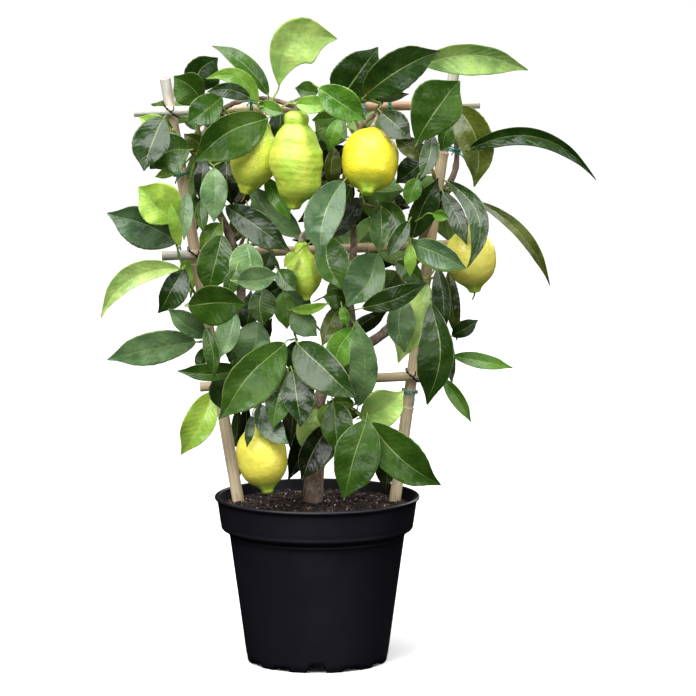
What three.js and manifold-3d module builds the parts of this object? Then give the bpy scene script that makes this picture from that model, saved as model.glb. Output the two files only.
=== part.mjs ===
// A young lemon tree in a black plastic nursery pot, trained flat on a bamboo ladder trellis.
//
// Units are millimetres, +Z up, and the origin is on the ground under the middle of the pot.
// The trellis stands behind the stem, so -Y is the front of the tree, which the fruit faces.
//
// The canes, branches, leaves and fruit are laid out in one front elevation, seen from a little above:
// each is given by where it starts and ends there, (right, down) from the sheet's corner at full size,
// and place() carries such a point into space at a chosen depth. How deep a leaf or fruit lies is
// worked out: stack() lays them one over another in the order of their layers.

import * as THREE from "three";
import { mergeVertices } from "three/addons/utils/BufferGeometryUtils.js";
import Module from "manifold-3d";

const wasm = await Module();
wasm.setup();

// ---------------------------------------------------------------- driving dimensions

// The elevation: its middle, the pot's axis and the ground in it, and the view's tilt and distance.
const SHEET = { x: 348, y: 348, axisX: 317, groundY: 662, tilt: 7.6 * (Math.PI / 180), distance: 4000 };

const POT = {
  height: 168,
  lipRadius: 103,
  lipDepth: 3.5,
  bandTopRadius: 100.5,
  bandFootRadius: 96.6,
  bandFoot: 137, // height at which the band ends
  neckRadius: 88.3,
  neck: 130, // height at which the body starts under the band's shoulder
  baseRadius: 70.5,
  wall: 2,
  floor: 8, // underside of the floor, over the feet
  floorThickness: 2.4,
  skirt: 3, // lower edge of the wall between the feet
  sides: 36,
};
const FOOT = { count: 12, width: 17, depth: 8, slant: 0.45, pad: 12 }; // pad: the middle foot's radius
const NOTCH = { count: 4, width: 20.5, height: 7 };
const DRAIN = { count: 4, radius: 5, ring: 46 };

const SOIL = { gap: 0.4, edge: 12, crown: 6, roughness: 1.6 }; // edge and crown are depths under the lip
const HOLE_GAP = 0.4; // round each stem and cane that stands in the soil

const CANE = { uprightRadius: 6, railRadius: 4.9, sides: 8, uprightDepth: 20, buried: 62 };
const RAIL_DEPTH = CANE.uprightDepth - CANE.uprightRadius - CANE.railRadius - 0.5;
const WIRE = { radius: 0.9, gap: 1, sides: 3, steps: 14 };

const TIE = { radius: 1.5, gap: 0.5, steps: 12 };

const BRANCH_DEPTH = -4;
const FRUIT_GAP = 0.35; // between a stalk and its fruit
const STALK = { radius: 1.7, cap: 3.4 };
const BARK_GAP = 0.35; // between a branch and the twig or stalk that grows from it
const BLADE = { thickness: 0.8, fold: 14, gap: 3.4, frontDepth: -12, backDepth: 36 }; // fold in degrees
const LARGE_BLADE = 52; // blades longer than this are given one more station
const PETIOLE = { radius: 1, bend: 3 }; // bend is how far before the blade the stalk turns
const TWIG = { radius: 1.5, sides: 3, ahead: 5 }; // ahead is how far it runs in front of bare wood, at least
const CELL = 3; // the side of a cell of the elevation in which stack() keeps what is foremost there

// ---------------------------------------------------------------- the front elevation

// Canes: [start x, y, end x, y] and the places of their joints, as shares of the length.
const UPRIGHTS = {
  cane_left: { line: [238, 499, 165, 78], joints: [0.27, 0.56, 0.8] },
  cane_right: { line: [395, 499, 454, 71], joints: [0.215, 0.52, 0.81] },
};
const RAILS = {
  rail_top: { line: [134, 112, 480, 104], joints: [0.35, 0.74] },
  rail_middle: { line: [162, 256, 457, 244], joints: [0.22, 0.7] },
  rail_bottom: { line: [200, 387, 431, 375], joints: [0.5] },
};

// Wire lashings: rail, upright and the slant of the wire in degrees.
const LASHINGS = {
  lashing_top_left: ["rail_top", "cane_left", -43],
  lashing_top_right: ["rail_top", "cane_right", -48],
  lashing_middle_left: ["rail_middle", "cane_left", -37],
  lashing_middle_right: ["rail_middle", "cane_right", -48],
  lashing_bottom_left: ["rail_bottom", "cane_left", 50],
  lashing_bottom_right: ["rail_bottom", "cane_right", -45],
};

// Plant ties: the cane and the share along it, the stem held with it as [x, y, radius], and the loose
// tail as [right, down] from the knot.
const TIES = {
  tie_top_left: { cane: "rail_top", at: 0.34, stem: [252, 101, 2.8], tail: [[5, 3], [11, 2]] },
  tie_top_middle: { cane: "rail_top", at: 0.665, stem: null, tail: [[1, 5], [-1, 9]] },
  tie_top_right: { cane: "rail_top", at: 0.74, stem: null, tail: [[3, 4], [5, 9]] },
  tie_left: { cane: "cane_left", at: 0.775, stem: null, tail: [[-4, 4], [-6, 9]] },
  tie_right: { cane: "cane_right", at: 0.825, stem: [456, 146, 3], tail: [[7, 6], [13, 15]] },
  tie_right_low: { cane: "cane_right", at: 0.255, stem: null, tail: [[4, 6], [3, 14]] },
};

// Woody stems: [x, y, radius] along each.
const STEMS = {
  trunk: [[313, 546, 8.5], [313, 520, 10.5], [313, 499, 10], [315, 465, 9.2], [316, 440, 8.6],
    [313, 408, 7.5]],
  left: [[315, 436, 7.4], [300, 392, 6.2], [268, 356, 5.4], [244, 320, 5], [240, 275, 4.6], [227, 229, 4.2],
    [208, 192, 3.6], [200, 150, 3], [214, 117, 2.6], [240, 101, 2.5], [272, 100, 2.5], [301, 109, 2.4]],
  right: [[315, 436, 7.4], [322, 392, 6.4], [346, 359, 5.6], [387, 330, 5], [408, 300, 4.6], [414, 264, 4.2],
    [425, 231, 3.8], [440, 199, 3.4], [455, 170, 3], [456, 140, 2.6], [447, 116, 2.3]],
  middle: [[346, 359, 4.8], [352, 322, 4.2], [348, 288, 3.8], [354, 243, 3.5], [350, 210, 3.2], [345, 178, 3],
    [352, 146, 2.7], [368, 119, 2.5], [383, 110, 2.2]],
};

// Fruit: stalk end x, y, blossom end x, y, widest radius, layer, how far the blossom end comes forward,
// how long the neck is as a share of the length, and the route of the stalk from the wood.
const FRUITS = [
  {
    name: "lemon_1", line: [263, 121, 245, 195], radius: 22.5, layer: 4, forward: 8, neck: 0.1,
    stalk: [[266, 100], [265, 112]],
  },
  {
    name: "lemon_2", line: [296, 111, 294, 210], radius: 26, layer: 4, forward: 4, neck: 0.3,
    stalk: [[299, 109], [297, 106]],
  },
  {
    name: "lemon_3", line: [373, 129, 367, 195], radius: 28, layer: 4, forward: 34, neck: 0,
    stalk: [[377, 112], [376, 120]],
  },
  {
    name: "lemon_4", line: [301, 242, 307, 301], radius: 15.5, layer: 3, forward: 6, neck: 0.22,
    stalk: [[350, 214], [326, 222], [304, 233]],
  },
  {
    name: "lemon_5", line: [467, 225, 475, 293], radius: 25, layer: 3, forward: 2, neck: 0.06,
    stalk: [[439, 202], [452, 208], [464, 217]],
  },
  {
    name: "lemon_6", line: [256, 420, 268, 494], radius: 25, layer: 2, forward: 8, neck: 0.12,
    stalk: [[286, 376], [268, 392], [257, 410]],
  },
];

// Leafy shoots: the twig's route from the wood, and its leaves as
// [base x, y, tip x, y, width, layer, bend to the right, turn about the rib in degrees] and, for a blade
// that isn't widest just below its middle, a number over 1 if that is further out and under 1 if nearer.
// Layers count forward from the branches, and backward below zero.
const SHOOTS = {
  shoot_crown_left: {
    twig: [[271, 100], [270, 106], [272, 114]],
    leaves: [
      [268, 95, 212, 46, 18, 2, 0.22, 20], [257, 104, 206, 79, 17, 4, 0.55, 10],
      [250, 98, 207, 92, 16, 5, 0.2, 0], [268, 118, 193, 162, 44, 6, 0.05, 0],
      [258, 104, 284, 113, 15, 3, 0, 0], [279, 86, 337, 39, 48, 2, -0.58, 20, 1.5],
    ],
  },
  shoot_crown_middle: {
    twig: [[286, 105], [294, 101], [317, 91]],
    leaves: [
      [296, 104, 331, 105, 18, 5, 0, 0], [318, 92, 295, 88, 18, 2, 0, 0],
      [319, 88, 366, 120, 32, 5, 0, 0], [281, 110, 274, 148, 20, 1, 0, 0],
    ],
  },
  shoot_corner: {
    twig: [[202, 148], [197, 122], [201, 101], [212, 95]],
    leaves: [
      [196, 92, 218, 58, 36, 2, -0.2, 0], [202, 100, 174, 76, 34, 3, 0, 0],
      [222, 97, 187, 124, 30, 4, 0, 0], [229, 119, 201, 124, 16, 1, 0, 0],
    ],
  },
  shoot_left_top: {
    twig: [[203, 164], [191, 152], [172, 128]],
    leaves: [
      [164, 118, 144, 171, 36, 4, 0.14, 0], [190, 150, 150, 169, 42, 3, 0.25, 0],
      [178, 169, 155, 177, 10, 2, 0, 0], [187, 192, 184, 240, 15, 3, 0, 0],
      [170, 130, 139, 117, 18, 1, 0, 0], [203, 150, 184, 134, 18, 1, 0, 0],
    ],
  },
  shoot_left_inner: {
    twig: [[225, 226], [220, 210], [216, 185], [213, 166]],
    leaves: [
      [222, 235, 207, 294, 36, 5, 0, 0], [220, 223, 200, 250, 20, 1, 0, 0],
      [226, 206, 290, 251, 30, 5, 0, 0], [204, 160, 200, 201, 17, 3, 0, 0],
      [214, 168, 214, 222, 27, 5, 0, 0], [226, 163, 232, 206, 20, 1, 0, 0],
      [200, 201, 203, 232, 13, 1, 0, 0],
    ],
  },
  shoot_under_fruit: {
    twig: [[230, 240], [246, 228], [252, 206], [254, 192], [266, 180]],
    leaves: [[251, 188, 306, 240, 26, 2, 0.08, 0], [266, 178, 291, 221, 18, 3, 0, 0]],
  },
  shoot_left_long: {
    twig: [[241, 300], [216, 308], [197, 297], [187, 279], [180, 259], [176, 242]],
    leaves: [
      [184, 268, 158, 313, 27, 2, -0.12, 0], [180, 269, 101, 318, 22, 4, 0.41, 0],
      [178, 241, 107, 213, 40, 2, 0, 0], [174, 222, 138, 187, 44, 4, 0.1, 0],
      [180, 246, 171, 203, 12, 5, -0.05, 0], [188, 306, 246, 304, 40, 7, 0, 0],
    ],
  },
  shoot_left_low: {
    twig: [[249, 330], [230, 344], [212, 340], [198, 342]],
    leaves: [
      [196, 342, 107, 360, 33, 3, 0.06, 0], [206, 337, 168, 309, 22, 5, 0, 0],
      [207, 327, 215, 378, 15, 5, 0, 0], [212, 392, 181, 455, 31, 3, -0.05, 0],
      [235, 313, 218, 359, 24, 4, 0, 0], [237, 342, 229, 362, 14, 2, 0, 0],
      [232, 372, 224, 412, 30, 3, 0.2, 0], [243, 369, 177, 371, 18, 4, -0.06, 0],
      [258, 322, 244, 370, 36, 3, 0, 0], [246, 332, 251, 290, 18, 1, 0, 0],
    ],
  },
  shoot_hanging: {
    twig: [[239, 248], [256, 244], [271, 250], [278, 266], [284, 290], [290, 312], [294, 332], [297, 340]],
    leaves: [
      [247, 243, 244, 291, 34, 5, 0, 0], [237, 281, 279, 275, 24, 6, 0, 0],
      [278, 270, 296, 291, 21, 4, 0, 0], [262, 288, 263, 326, 28, 4, 0, 0],
      [283, 292, 287, 329, 22, 3, 0, 0], [284, 289, 313, 311, 20, 2, 0, 0],
      [291, 313, 317, 336, 25, 3, 0, 0], [292, 310, 329, 303, 10, 6, 0.12, 0],
      [285, 343, 219, 419, 46, 5, 0, 0], [297, 343, 357, 398, 40, 7, 0.1, 0, 0.85],
      [236, 270, 227, 297, 16, 5, 0, 0], [271, 252, 263, 276, 18, 1, 0, 0],
      [283, 286, 262, 296, 20, 1, 0, 0], [296, 341, 292, 374, 20, 1, 0, 0],
    ],
  },
  shoot_low_middle: {
    twig: [[298, 390], [291, 374]],
    leaves: [
      [292, 370, 300, 427, 32, 5, -0.12, 0], [288, 371, 272, 429, 28, 4, 0, 0],
      [259, 404, 289, 444, 24, 3, 0.18, 0], [252, 416, 247, 447, 9, 3, 0, 0],
      [294, 380, 290, 448, 20, 1, 0, 0],
    ],
  },
  shoot_low_right: {
    twig: [[315, 420], [322, 408], [333, 402], [350, 408], [364, 419]],
    leaves: [
      [333, 402, 337, 455, 32, 4, -0.1, 0], [358, 406, 356, 321, 28, 5, 0.15, 0],
      [360, 418, 403, 391, 38, 5, 0.15, 0], [366, 420, 343, 499, 46, 6, -0.04, 0],
      [371, 423, 441, 485, 42, 5, 0.14, 0], [330, 424, 301, 481, 30, 3, 0, 0],
      [318, 409, 306, 456, 32, 2, 0, 0], [327, 404, 322, 427, 14, 3, 0, 0],
      [354, 403, 328, 402, 14, 3, 0, 0], [306, 421, 288, 480, 21, 1, -0.1, 0],
      [385, 436, 386, 492, 22, 1, 0, 0],
    ],
  },
  shoot_top_right: {
    twig: [[376, 112], [384, 98], [404, 84], [422, 65]],
    leaves: [
      [364, 97, 440, 51, 40, 3, -0.12, 0], [374, 99, 409, 94, 10, 1, 0, 0],
      [381, 112, 411, 139, 26, 5, 0, 0], [422, 64, 528, 70, 31, 1, -0.14, 20],
    ],
  },
  shoot_top_middle: {
    twig: [[360, 130], [350, 108], [344, 100]],
    leaves: [
      [341, 99, 378, 47, 48, 2, 0, 0, 0.75], [338, 118, 312, 120, 16, 3, 0, 0],
      [339, 119, 328, 152, 15, 4, 0, 0], [334, 148, 332, 191, 16, 1, 0, 0],
    ],
  },
  shoot_fruit_right: {
    twig: [[441, 197], [431, 166], [419, 146], [400, 140]],
    leaves: [
      [417, 143, 460, 81, 52, 6, -0.12, 0, 1.4], [396, 138, 431, 160, 20, 4, 0, 0],
      [428, 157, 396, 183, 28, 3, 0, 0], [417, 178, 407, 205, 18, 4, 0, 0],
      [431, 133, 420, 179, 18, 4, -0.15, 0],
    ],
  },
  shoot_right_top: {
    twig: [[456, 142], [462, 130], [468, 146]],
    leaves: [
      [470, 149, 596, 180, 18, 3, -0.41, 0, 0.75], [457, 108, 474, 187, 36, 2, -0.28, 0, 0.8],
      [455, 117, 441, 151, 20, 1, 0, 0],
    ],
  },
  shoot_right_arch: {
    twig: [[448, 184], [462, 196], [474, 203]],
    leaves: [
      [478, 202, 550, 286, 13, 1, -0.23, 0], [446, 181, 467, 268, 20, 5, -0.5, 0],
      [443, 192, 467, 245, 18, 4, -0.05, 0], [446, 190, 431, 214, 13, 3, 0, 0],
    ],
  },
  shoot_right_inner: {
    twig: [[414, 262], [412, 243], [410, 224]],
    leaves: [
      [411, 243, 466, 268, 26, 5, 0, 0], [414, 254, 466, 269, 16, 4, 0.05, 0],
      [410, 244, 410, 277, 12, 6, 0, 0], [409, 221, 387, 258, 16, 6, 0, 0],
      [412, 238, 438, 178, 26, 3, 0, 0], [396, 262, 424, 283, 20, 2, 0, 0],
      [433, 214, 449, 218, 11, 4, 0, 0],
    ],
  },
  shoot_middle: {
    twig: [[351, 220], [364, 204], [378, 208], [381, 232], [378, 250]],
    leaves: [
      [378, 203, 399, 239, 30, 4, -0.1, 0], [381, 209, 379, 253, 20, 5, 0, 0],
      [378, 254, 347, 307, 42, 4, 0, 0], [360, 198, 328, 240, 24, 3, 0, 0],
    ],
  },
  shoot_middle_top: {
    twig: [[346, 186], [338, 200], [328, 230]],
    leaves: [
      [344, 181, 322, 257, 37, 6, 0.26, 0], [326, 236, 341, 289, 34, 4, 0.05, 0],
      [350, 186, 341, 207, 13, 3, 0, 0], [297, 253, 284, 267, 13, 5, 0, 0],
    ],
  },
  shoot_middle_low: {
    twig: [[351, 320], [346, 306]],
    leaves: [
      [353, 328, 331, 372, 32, 4, 0, 0], [341, 305, 322, 346, 20, 3, 0, 0],
      [342, 307, 347, 326, 10, 5, 0, 0], [347, 299, 323, 297, 20, 3, 0, 0],
      [362, 308, 427, 283, 22, 4, 0.06, 0],
    ],
  },
  shoot_right_low: {
    twig: [[411, 286], [426, 282], [434, 298]],
    leaves: [
      [427, 284, 398, 363, 34, 2, 0, 0], [404, 297, 405, 352, 28, 3, 0.13, 0],
      [431, 303, 427, 405, 36, 5, -0.12, 0, 1.2], [438, 268, 445, 332, 18, 2, 0, 0],
      [449, 270, 457, 341, 14, 1, 0, 0], [429, 334, 424, 371, 10, 2, 0, 0],
    ],
  },
  shoot_right_side: {
    twig: [[409, 296], [430, 318], [446, 338], [449, 368]],
    leaves: [
      [452, 336, 478, 320, 16, 1, 0, 0], [453, 356, 513, 368, 15, 1, -0.03, 0],
      [443, 379, 471, 422, 14, 1, -0.05, 0],
    ],
  },
  rear_left_top: {
    twig: [[205, 139], [198, 130], [192, 138]],
    leaves: [
      [200, 133, 243, 158, 30, -1, 0, 0], [194, 138, 248, 178, 26, -2, 0, 0],
      [196, 130, 191, 97, 24, -2, 0, 0], [193, 118, 151, 104, 22, -1, 0, 0],
      [198, 150, 190, 205, 18, -1, 0, 0],
    ],
  },
  rear_top: {
    twig: [[351, 150], [356, 136], [362, 124]],
    leaves: [
      [361, 124, 402, 128, 30, -1, 0, 0], [359, 130, 392, 168, 32, -2, 0, 0],
      [354, 136, 374, 84, 32, -2, 0, 0], [346, 140, 314, 118, 30, -1, 0, 0],
      [344, 146, 318, 182, 30, -2, 0, 0],
    ],
  },
  rear_fruit: {
    twig: [[347, 190], [356, 184], [362, 190]],
    leaves: [
      [361, 188, 404, 190, 34, -1, 0, 0], [360, 192, 398, 216, 30, -2, 0, 0],
      [352, 182, 318, 214, 34, -1, 0, 0],
    ],
  },
  rear_right_top: {
    twig: [[450, 180], [453, 186], [446, 198]],
    leaves: [[446, 204, 449, 242, 26, -1, 0, 0], [441, 197, 415, 178, 26, -2, 0, 0]],
  },
  rear_middle: {
    twig: [[350, 288], [352, 270], [350, 250]],
    leaves: [
      [350, 262, 386, 294, 34, -1, 0, 0], [350, 256, 306, 264, 30, -1, 0, 0],
      [352, 249, 388, 216, 28, -2, 0, 0], [349, 250, 328, 206, 30, -2, 0, 0],
      [352, 270, 332, 314, 30, -3, 0, 0],
    ],
  },
  rear_right: {
    twig: [[409, 290], [400, 276], [396, 262]],
    leaves: [
      [398, 272, 373, 299, 30, -1, 0, 0], [396, 264, 424, 240, 28, -1, 0, 0],
      [400, 276, 420, 310, 28, -2, 0, 0], [397, 264, 382, 228, 26, -2, 0, 0],
    ],
  },
  rear_left_low: {
    twig: [[264, 351], [262, 362], [252, 370], [248, 398]],
    leaves: [
      [256, 368, 224, 400, 34, -1, 0, 0], [260, 364, 291, 397, 30, -1, 0, 0],
      [253, 369, 230, 342, 28, -2, 0, 0], [247, 404, 240, 476, 14, -1, 0, 0],
      [258, 372, 244, 412, 26, -2, 0, 0],
    ],
  },
  rear_middle_low: {
    twig: [[344, 361], [337, 352], [343, 343]],
    leaves: [
      [338, 353, 317, 384, 30, -1, 0, 0], [342, 344, 326, 314, 26, -2, 0, 0],
      [338, 350, 360, 386, 32, -2, 0, 0],
    ],
  },
  rear_low: {
    twig: [[322, 404], [325, 414], [321, 424]],
    leaves: [
      [322, 421, 301, 460, 32, -1, 0, 0], [324, 416, 352, 452, 34, -1, 0, 0],
      [321, 423, 322, 470, 30, -2, 0, 0],
    ],
  },
};

// ---------------------------------------------------------------- points and the elevation

const cosTilt = Math.cos(SHEET.tilt);
const sinTilt = Math.sin(SHEET.tilt);

// A point (x, y) of the elevation at a depth behind the middle of the pot, in space.
function place(x, y, depth) {
  const rise = SHEET.y - y;
  const reach = SHEET.distance * cosTilt;
  const scale = (1 + depth / reach) / (1 + (rise * sinTilt) / reach);
  const height = SHEET.groundY - SHEET.y + rise * scale;
  return new THREE.Vector3(
    SHEET.x - SHEET.axisX + (x - SHEET.x) * scale, depth, (height - depth * sinTilt) / cosTilt,
  );
}

// Where a point in space is seen in the elevation.
function seen(point) {
  const rise = point.z * cosTilt + point.y * sinTilt - (SHEET.groundY - SHEET.y);
  const scale = 1 / (1 + (point.y / cosTilt - (rise * sinTilt) / cosTilt) / SHEET.distance);
  return [SHEET.x + (point.x - SHEET.x + SHEET.axisX) * scale, SHEET.y - rise * scale];
}

// A value between low and high that is steady for its number but differs from one number to the next.
function vary(number, low, high) {
  return low + (high - low) * ((number * 0.61803399 + 0.17) % 1);
}

function mix(a, b, share) {
  return a + (b - a) * share;
}

// ---------------------------------------------------------------- solids

// A closed surface as a solid that can be joined and cut.
function solidOf(geometry) {
  const bare = new THREE.BufferGeometry();
  bare.setAttribute("position", geometry.getAttribute("position"));
  bare.setIndex(geometry.getIndex());
  const merged = mergeVertices(bare, 1e-4);
  const corners = merged.getIndex().array;
  const triVerts = [];
  for (let i = 0; i < corners.length; i += 3) {
    const [a, b, c] = corners.slice(i, i + 3);
    if (a !== b && b !== c && c !== a) {
      triVerts.push(a, b, c);
    }
  }
  return new wasm.Manifold(new wasm.Mesh({
    numProp: 3,
    vertProperties: merged.getAttribute("position").array,
    triVerts: new Uint32Array(triVerts),
  }));
}

function solid(vertices, triangles) {
  const geometry = new THREE.BufferGeometry().setFromPoints(vertices);
  geometry.setIndex(triangles.flat());
  return solidOf(geometry);
}

function fuse(solids) {
  return solids.reduce((whole, part) => whole.add(part));
}

// The largest of a solid's separate lumps.
function mainLump(body) {
  const lumps = body.decompose();
  return lumps.reduce((best, lump) => (lump.volume() > best.volume() ? lump : best));
}

// A profile of [radius, height] that starts and ends on the axis, turned about Z.
function turnedGeometry(profile, sides) {
  const points = profile.map(([radius, height]) => new THREE.Vector2(radius, height));
  return new THREE.LatheGeometry(points, sides).rotateX(Math.PI / 2);
}

function cylinder(radius, low, high, x, y, sides) {
  const geometry = new THREE.CylinderGeometry(radius, radius, high - low, sides);
  return solidOf(geometry.rotateX(Math.PI / 2).translate(x, y, (low + high) / 2));
}

// A round bar along points; radii has one value for each point. A closed one is a flat loop.
function bar(points, radii, sides, closed = false) {
  const count = points.length;
  const vertices = [];
  let across = null;
  points.forEach((point, i) => {
    const before = points[closed ? (i + count - 1) % count : Math.max(i - 1, 0)];
    const after = points[closed ? (i + 1) % count : Math.min(i + 1, count - 1)];
    const along = after.clone().sub(before).normalize();
    if (closed) {
      across = points[0].clone().sub(points[Math.floor(count / 3)])
        .cross(points[0].clone().sub(points[Math.floor((2 * count) / 3)])).normalize();
    } else if (across === null) {
      across = Math.abs(along.y) > 0.8 ? new THREE.Vector3(1, 0, 0) : new THREE.Vector3(0, 1, 0);
    }
    across = across.clone().addScaledVector(along, -across.dot(along)).normalize();
    const other = along.clone().cross(across);
    for (let side = 0; side < sides; side++) {
      const angle = (side / sides) * 2 * Math.PI;
      vertices.push(point.clone()
        .addScaledVector(across, radii[i] * Math.cos(angle))
        .addScaledVector(other, radii[i] * Math.sin(angle)));
    }
  });
  const at = (ring, side) => (ring % count) * sides + (side % sides);
  const triangles = [];
  for (let ring = 0; ring < (closed ? count : count - 1); ring++) {
    for (let side = 0; side < sides; side++) {
      triangles.push([at(ring, side), at(ring, side + 1), at(ring + 1, side + 1)]);
      triangles.push([at(ring, side), at(ring + 1, side + 1), at(ring + 1, side)]);
    }
  }
  if (!closed) {
    for (let side = 1; side < sides - 1; side++) {
      triangles.push([at(0, 0), at(0, side + 1), at(0, side)]);
      triangles.push([at(count - 1, 0), at(count - 1, side), at(count - 1, side + 1)]);
    }
  }
  return solid(vertices, triangles);
}

// ---------------------------------------------------------------- what lies over what

const foremost = new Map();
const hindmost = new Map();

// Notes that a thing reaches from one depth to another at a place of the elevation.
function note(x, y, near, far) {
  const cell = `${Math.floor(x / CELL)},${Math.floor(y / CELL)}`;
  foremost.set(cell, Math.min(foremost.get(cell) ?? Infinity, near));
  hindmost.set(cell, Math.max(hindmost.get(cell) ?? -Infinity, far));
}

// The foremost (or, behind, the hindmost) depth noted at a place or in the cells round it.
function surfaceAt(x, y, behind) {
  const column = Math.floor(x / CELL);
  const row = Math.floor(y / CELL);
  const map = behind ? hindmost : foremost;
  const pick = behind ? Math.max : Math.min;
  let depth = behind ? -Infinity : Infinity;
  for (let i = -1; i <= 1; i++) {
    for (let j = -1; j <= 1; j++) {
      depth = pick(depth, map.get(`${column + i},${row + j}`) ?? depth);
    }
  }
  return depth;
}

// Notes a round bar along points in space.
function noteBar(points, radii) {
  for (let i = 0; i < points.length - 1; i++) {
    const steps = Math.max(1, Math.ceil(points[i].distanceTo(points[i + 1]) / 2));
    for (let step = 0; step <= steps; step++) {
      const point = points[i].clone().lerp(points[i + 1], step / steps);
      const radius = mix(radii[i], radii[i + 1], step / steps);
      const [x, y] = seen(point);
      const reach = Math.ceil(radius / 2) * 2;
      for (let dx = -reach; dx <= reach; dx += 2) {
        for (let dy = -reach; dy <= reach; dy += 2) {
          const rim = radius * radius - dx * dx - dy * dy;
          if (rim >= -4) {
            const half = Math.sqrt(Math.max(rim, 0));
            note(x + dx, y + dy, point.y - half, point.y + half);
          }
        }
      }
    }
  }
}

// How far to shift samples of [x, y, depth] in depth so that they clear all that is noted already:
// forward, to a depth of at most start; or backward, to one of at least start.
function clearShift(samples, half, start, behind) {
  let shift = start;
  for (const [x, y, depth] of samples) {
    const surface = surfaceAt(x, y, behind);
    if (behind) {
      shift = Math.max(shift, surface + BLADE.gap + half - depth);
    } else {
      shift = Math.min(shift, surface - BLADE.gap - half - depth);
    }
  }
  return shift;
}

// ---------------------------------------------------------------- pot and soil

function potSolid() {
  const { height, lipRadius, lipDepth, bandTopRadius, bandFootRadius, bandFoot, neckRadius, neck } = POT;
  const { baseRadius, wall, floor, floorThickness } = POT;
  const cup = solidOf(turnedGeometry([
    [0, floor],
    [baseRadius - FOOT.depth, floor],
    [baseRadius - FOOT.depth, 0],
    [baseRadius, 0],
    [neckRadius, neck],
    [bandFootRadius, bandFoot],
    [bandTopRadius, height - lipDepth],
    [lipRadius - 0.6, height - lipDepth + 0.4],
    [lipRadius, height - lipDepth / 2],
    [lipRadius - 0.8, height],
    [bandTopRadius - wall + 0.4, height],
    [bandTopRadius - wall, height - 0.8],
    [bandFootRadius - wall, bandFoot + 1],
    [neckRadius - wall, neck + 0.6],
    [baseRadius - wall, floor + floorThickness],
    [0, floor + floorThickness],
  ], POT.sides));
  const cuts = [];
  for (let i = 0; i < FOOT.count; i++) {
    const isNotch = i % (FOOT.count / NOTCH.count) === 0;
    const width = isNotch ? NOTCH.width : (2 * Math.PI * baseRadius) / FOOT.count - FOOT.width;
    cuts.push(channel(width, isNotch ? NOTCH.height : POT.skirt, (i / FOOT.count) * 2 * Math.PI));
  }
  for (let i = 0; i < DRAIN.count; i++) {
    const angle = ((i + 0.5) / DRAIN.count) * 2 * Math.PI;
    const [x, y] = [DRAIN.ring * Math.cos(angle), DRAIN.ring * Math.sin(angle)];
    cuts.push(cylinder(DRAIN.radius, floor - 2, floor + floorThickness + 2, x, y, 8));
  }
  return fuse([cup, cylinder(FOOT.pad, 0, floor + 1, 0, 0, 12)]).subtract(fuse(cuts));
}

// The room between two feet, cut outward at an angle: wide at the ground and narrower at its top.
function channel(width, height, angle) {
  const low = width / 2 + FOOT.slant;
  const top = width / 2 - height * FOOT.slant;
  const corners = [[-low, -1], [low, -1], [top, height], [-top, height]];
  const shape = new THREE.Shape(corners.map(([x, y]) => new THREE.Vector2(x, y)));
  const geometry = new THREE.ExtrudeGeometry(shape, { depth: FOOT.depth + 8, bevelEnabled: false });
  geometry.applyMatrix4(new THREE.Matrix4().makeBasis(
    new THREE.Vector3(0, 1, 0), new THREE.Vector3(0, 0, 1), new THREE.Vector3(1, 0, 0),
  ));
  return solidOf(geometry.translate(POT.baseRadius - FOOT.depth - 2, 0, 0).rotateZ(angle));
}

function soilSolid(holes) {
  const inside = POT.wall + SOIL.gap;
  const floor = POT.floor + POT.floorThickness + SOIL.gap;
  const top = POT.height - SOIL.edge;
  const rise = SOIL.edge - SOIL.crown;
  const profile = [
    [0, floor],
    [POT.baseRadius - inside - 0.6, floor],
    [POT.neckRadius - inside - 0.4, POT.neck],
    [POT.bandFootRadius - inside - 0.6, POT.bandFoot + 2],
    [POT.bandTopRadius - inside - 1.6, top],
  ];
  for (const share of [0.8, 0.45]) {
    profile.push([(POT.bandTopRadius - inside) * share, top + rise * (1 - share * share)]);
  }
  profile.push([0, top + rise]);
  const geometry = turnedGeometry(profile, POT.sides);
  const position = geometry.getAttribute("position");
  for (let i = 0; i < position.count; i++) {
    const [x, y, z] = [position.getX(i), position.getY(i), position.getZ(i)];
    const radius = Math.hypot(x, y);
    const side = (Math.round((Math.atan2(y, x) / (2 * Math.PI)) * POT.sides) + POT.sides) % POT.sides;
    if (z > top - 0.1 && radius > 1 && radius < POT.bandTopRadius - inside - 2) {
      const number = Math.round(radius) * 31 + side * 7;
      position.setZ(i, z + vary(number, -SOIL.roughness, SOIL.roughness));
    }
  }
  return solidOf(geometry).subtract(fuse(holes));
}

// ---------------------------------------------------------------- bamboo trellis

// The points and radii along a cane, thicker at its joints.
function canePath([x0, y0, x1, y1], joints, depth, radius, buried = 0) {
  const start = place(x0, y0, depth);
  const end = place(x1, y1, depth);
  const length = start.distanceTo(end);
  const shares = [[-buried / length, 0]];
  for (const joint of joints) {
    shares.push([joint - 4 / length, 0], [joint, 0.7], [joint + 3 / length, -0.2]);
  }
  shares.push([1, -0.3]);
  return {
    points: shares.map(([share]) => start.clone().lerp(end, share)),
    radii: shares.map(([, swell]) => radius + swell),
  };
}

// A flat loop of cord round discs, each given as its offsets along u and w and its half-widths along them.
function loopPath(centre, u, w, discs, clearance, steps) {
  const points = [];
  for (let step = 0; step < steps; step++) {
    const angle = (step / steps) * 2 * Math.PI;
    const [c, s] = [Math.cos(angle), Math.sin(angle)];
    const reaches = discs.map(([du, dw, a, b]) => du * c + dw * s + Math.hypot(a * c, b * s));
    const [du, dw, a, b] = discs[reaches.indexOf(Math.max(...reaches))];
    const norm = Math.hypot(a * c, b * s);
    points.push(centre.clone()
      .addScaledVector(u, du + (a * a * c) / norm + clearance * c)
      .addScaledVector(w, dw + (b * b * s) / norm + clearance * s));
  }
  return points;
}

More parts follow.
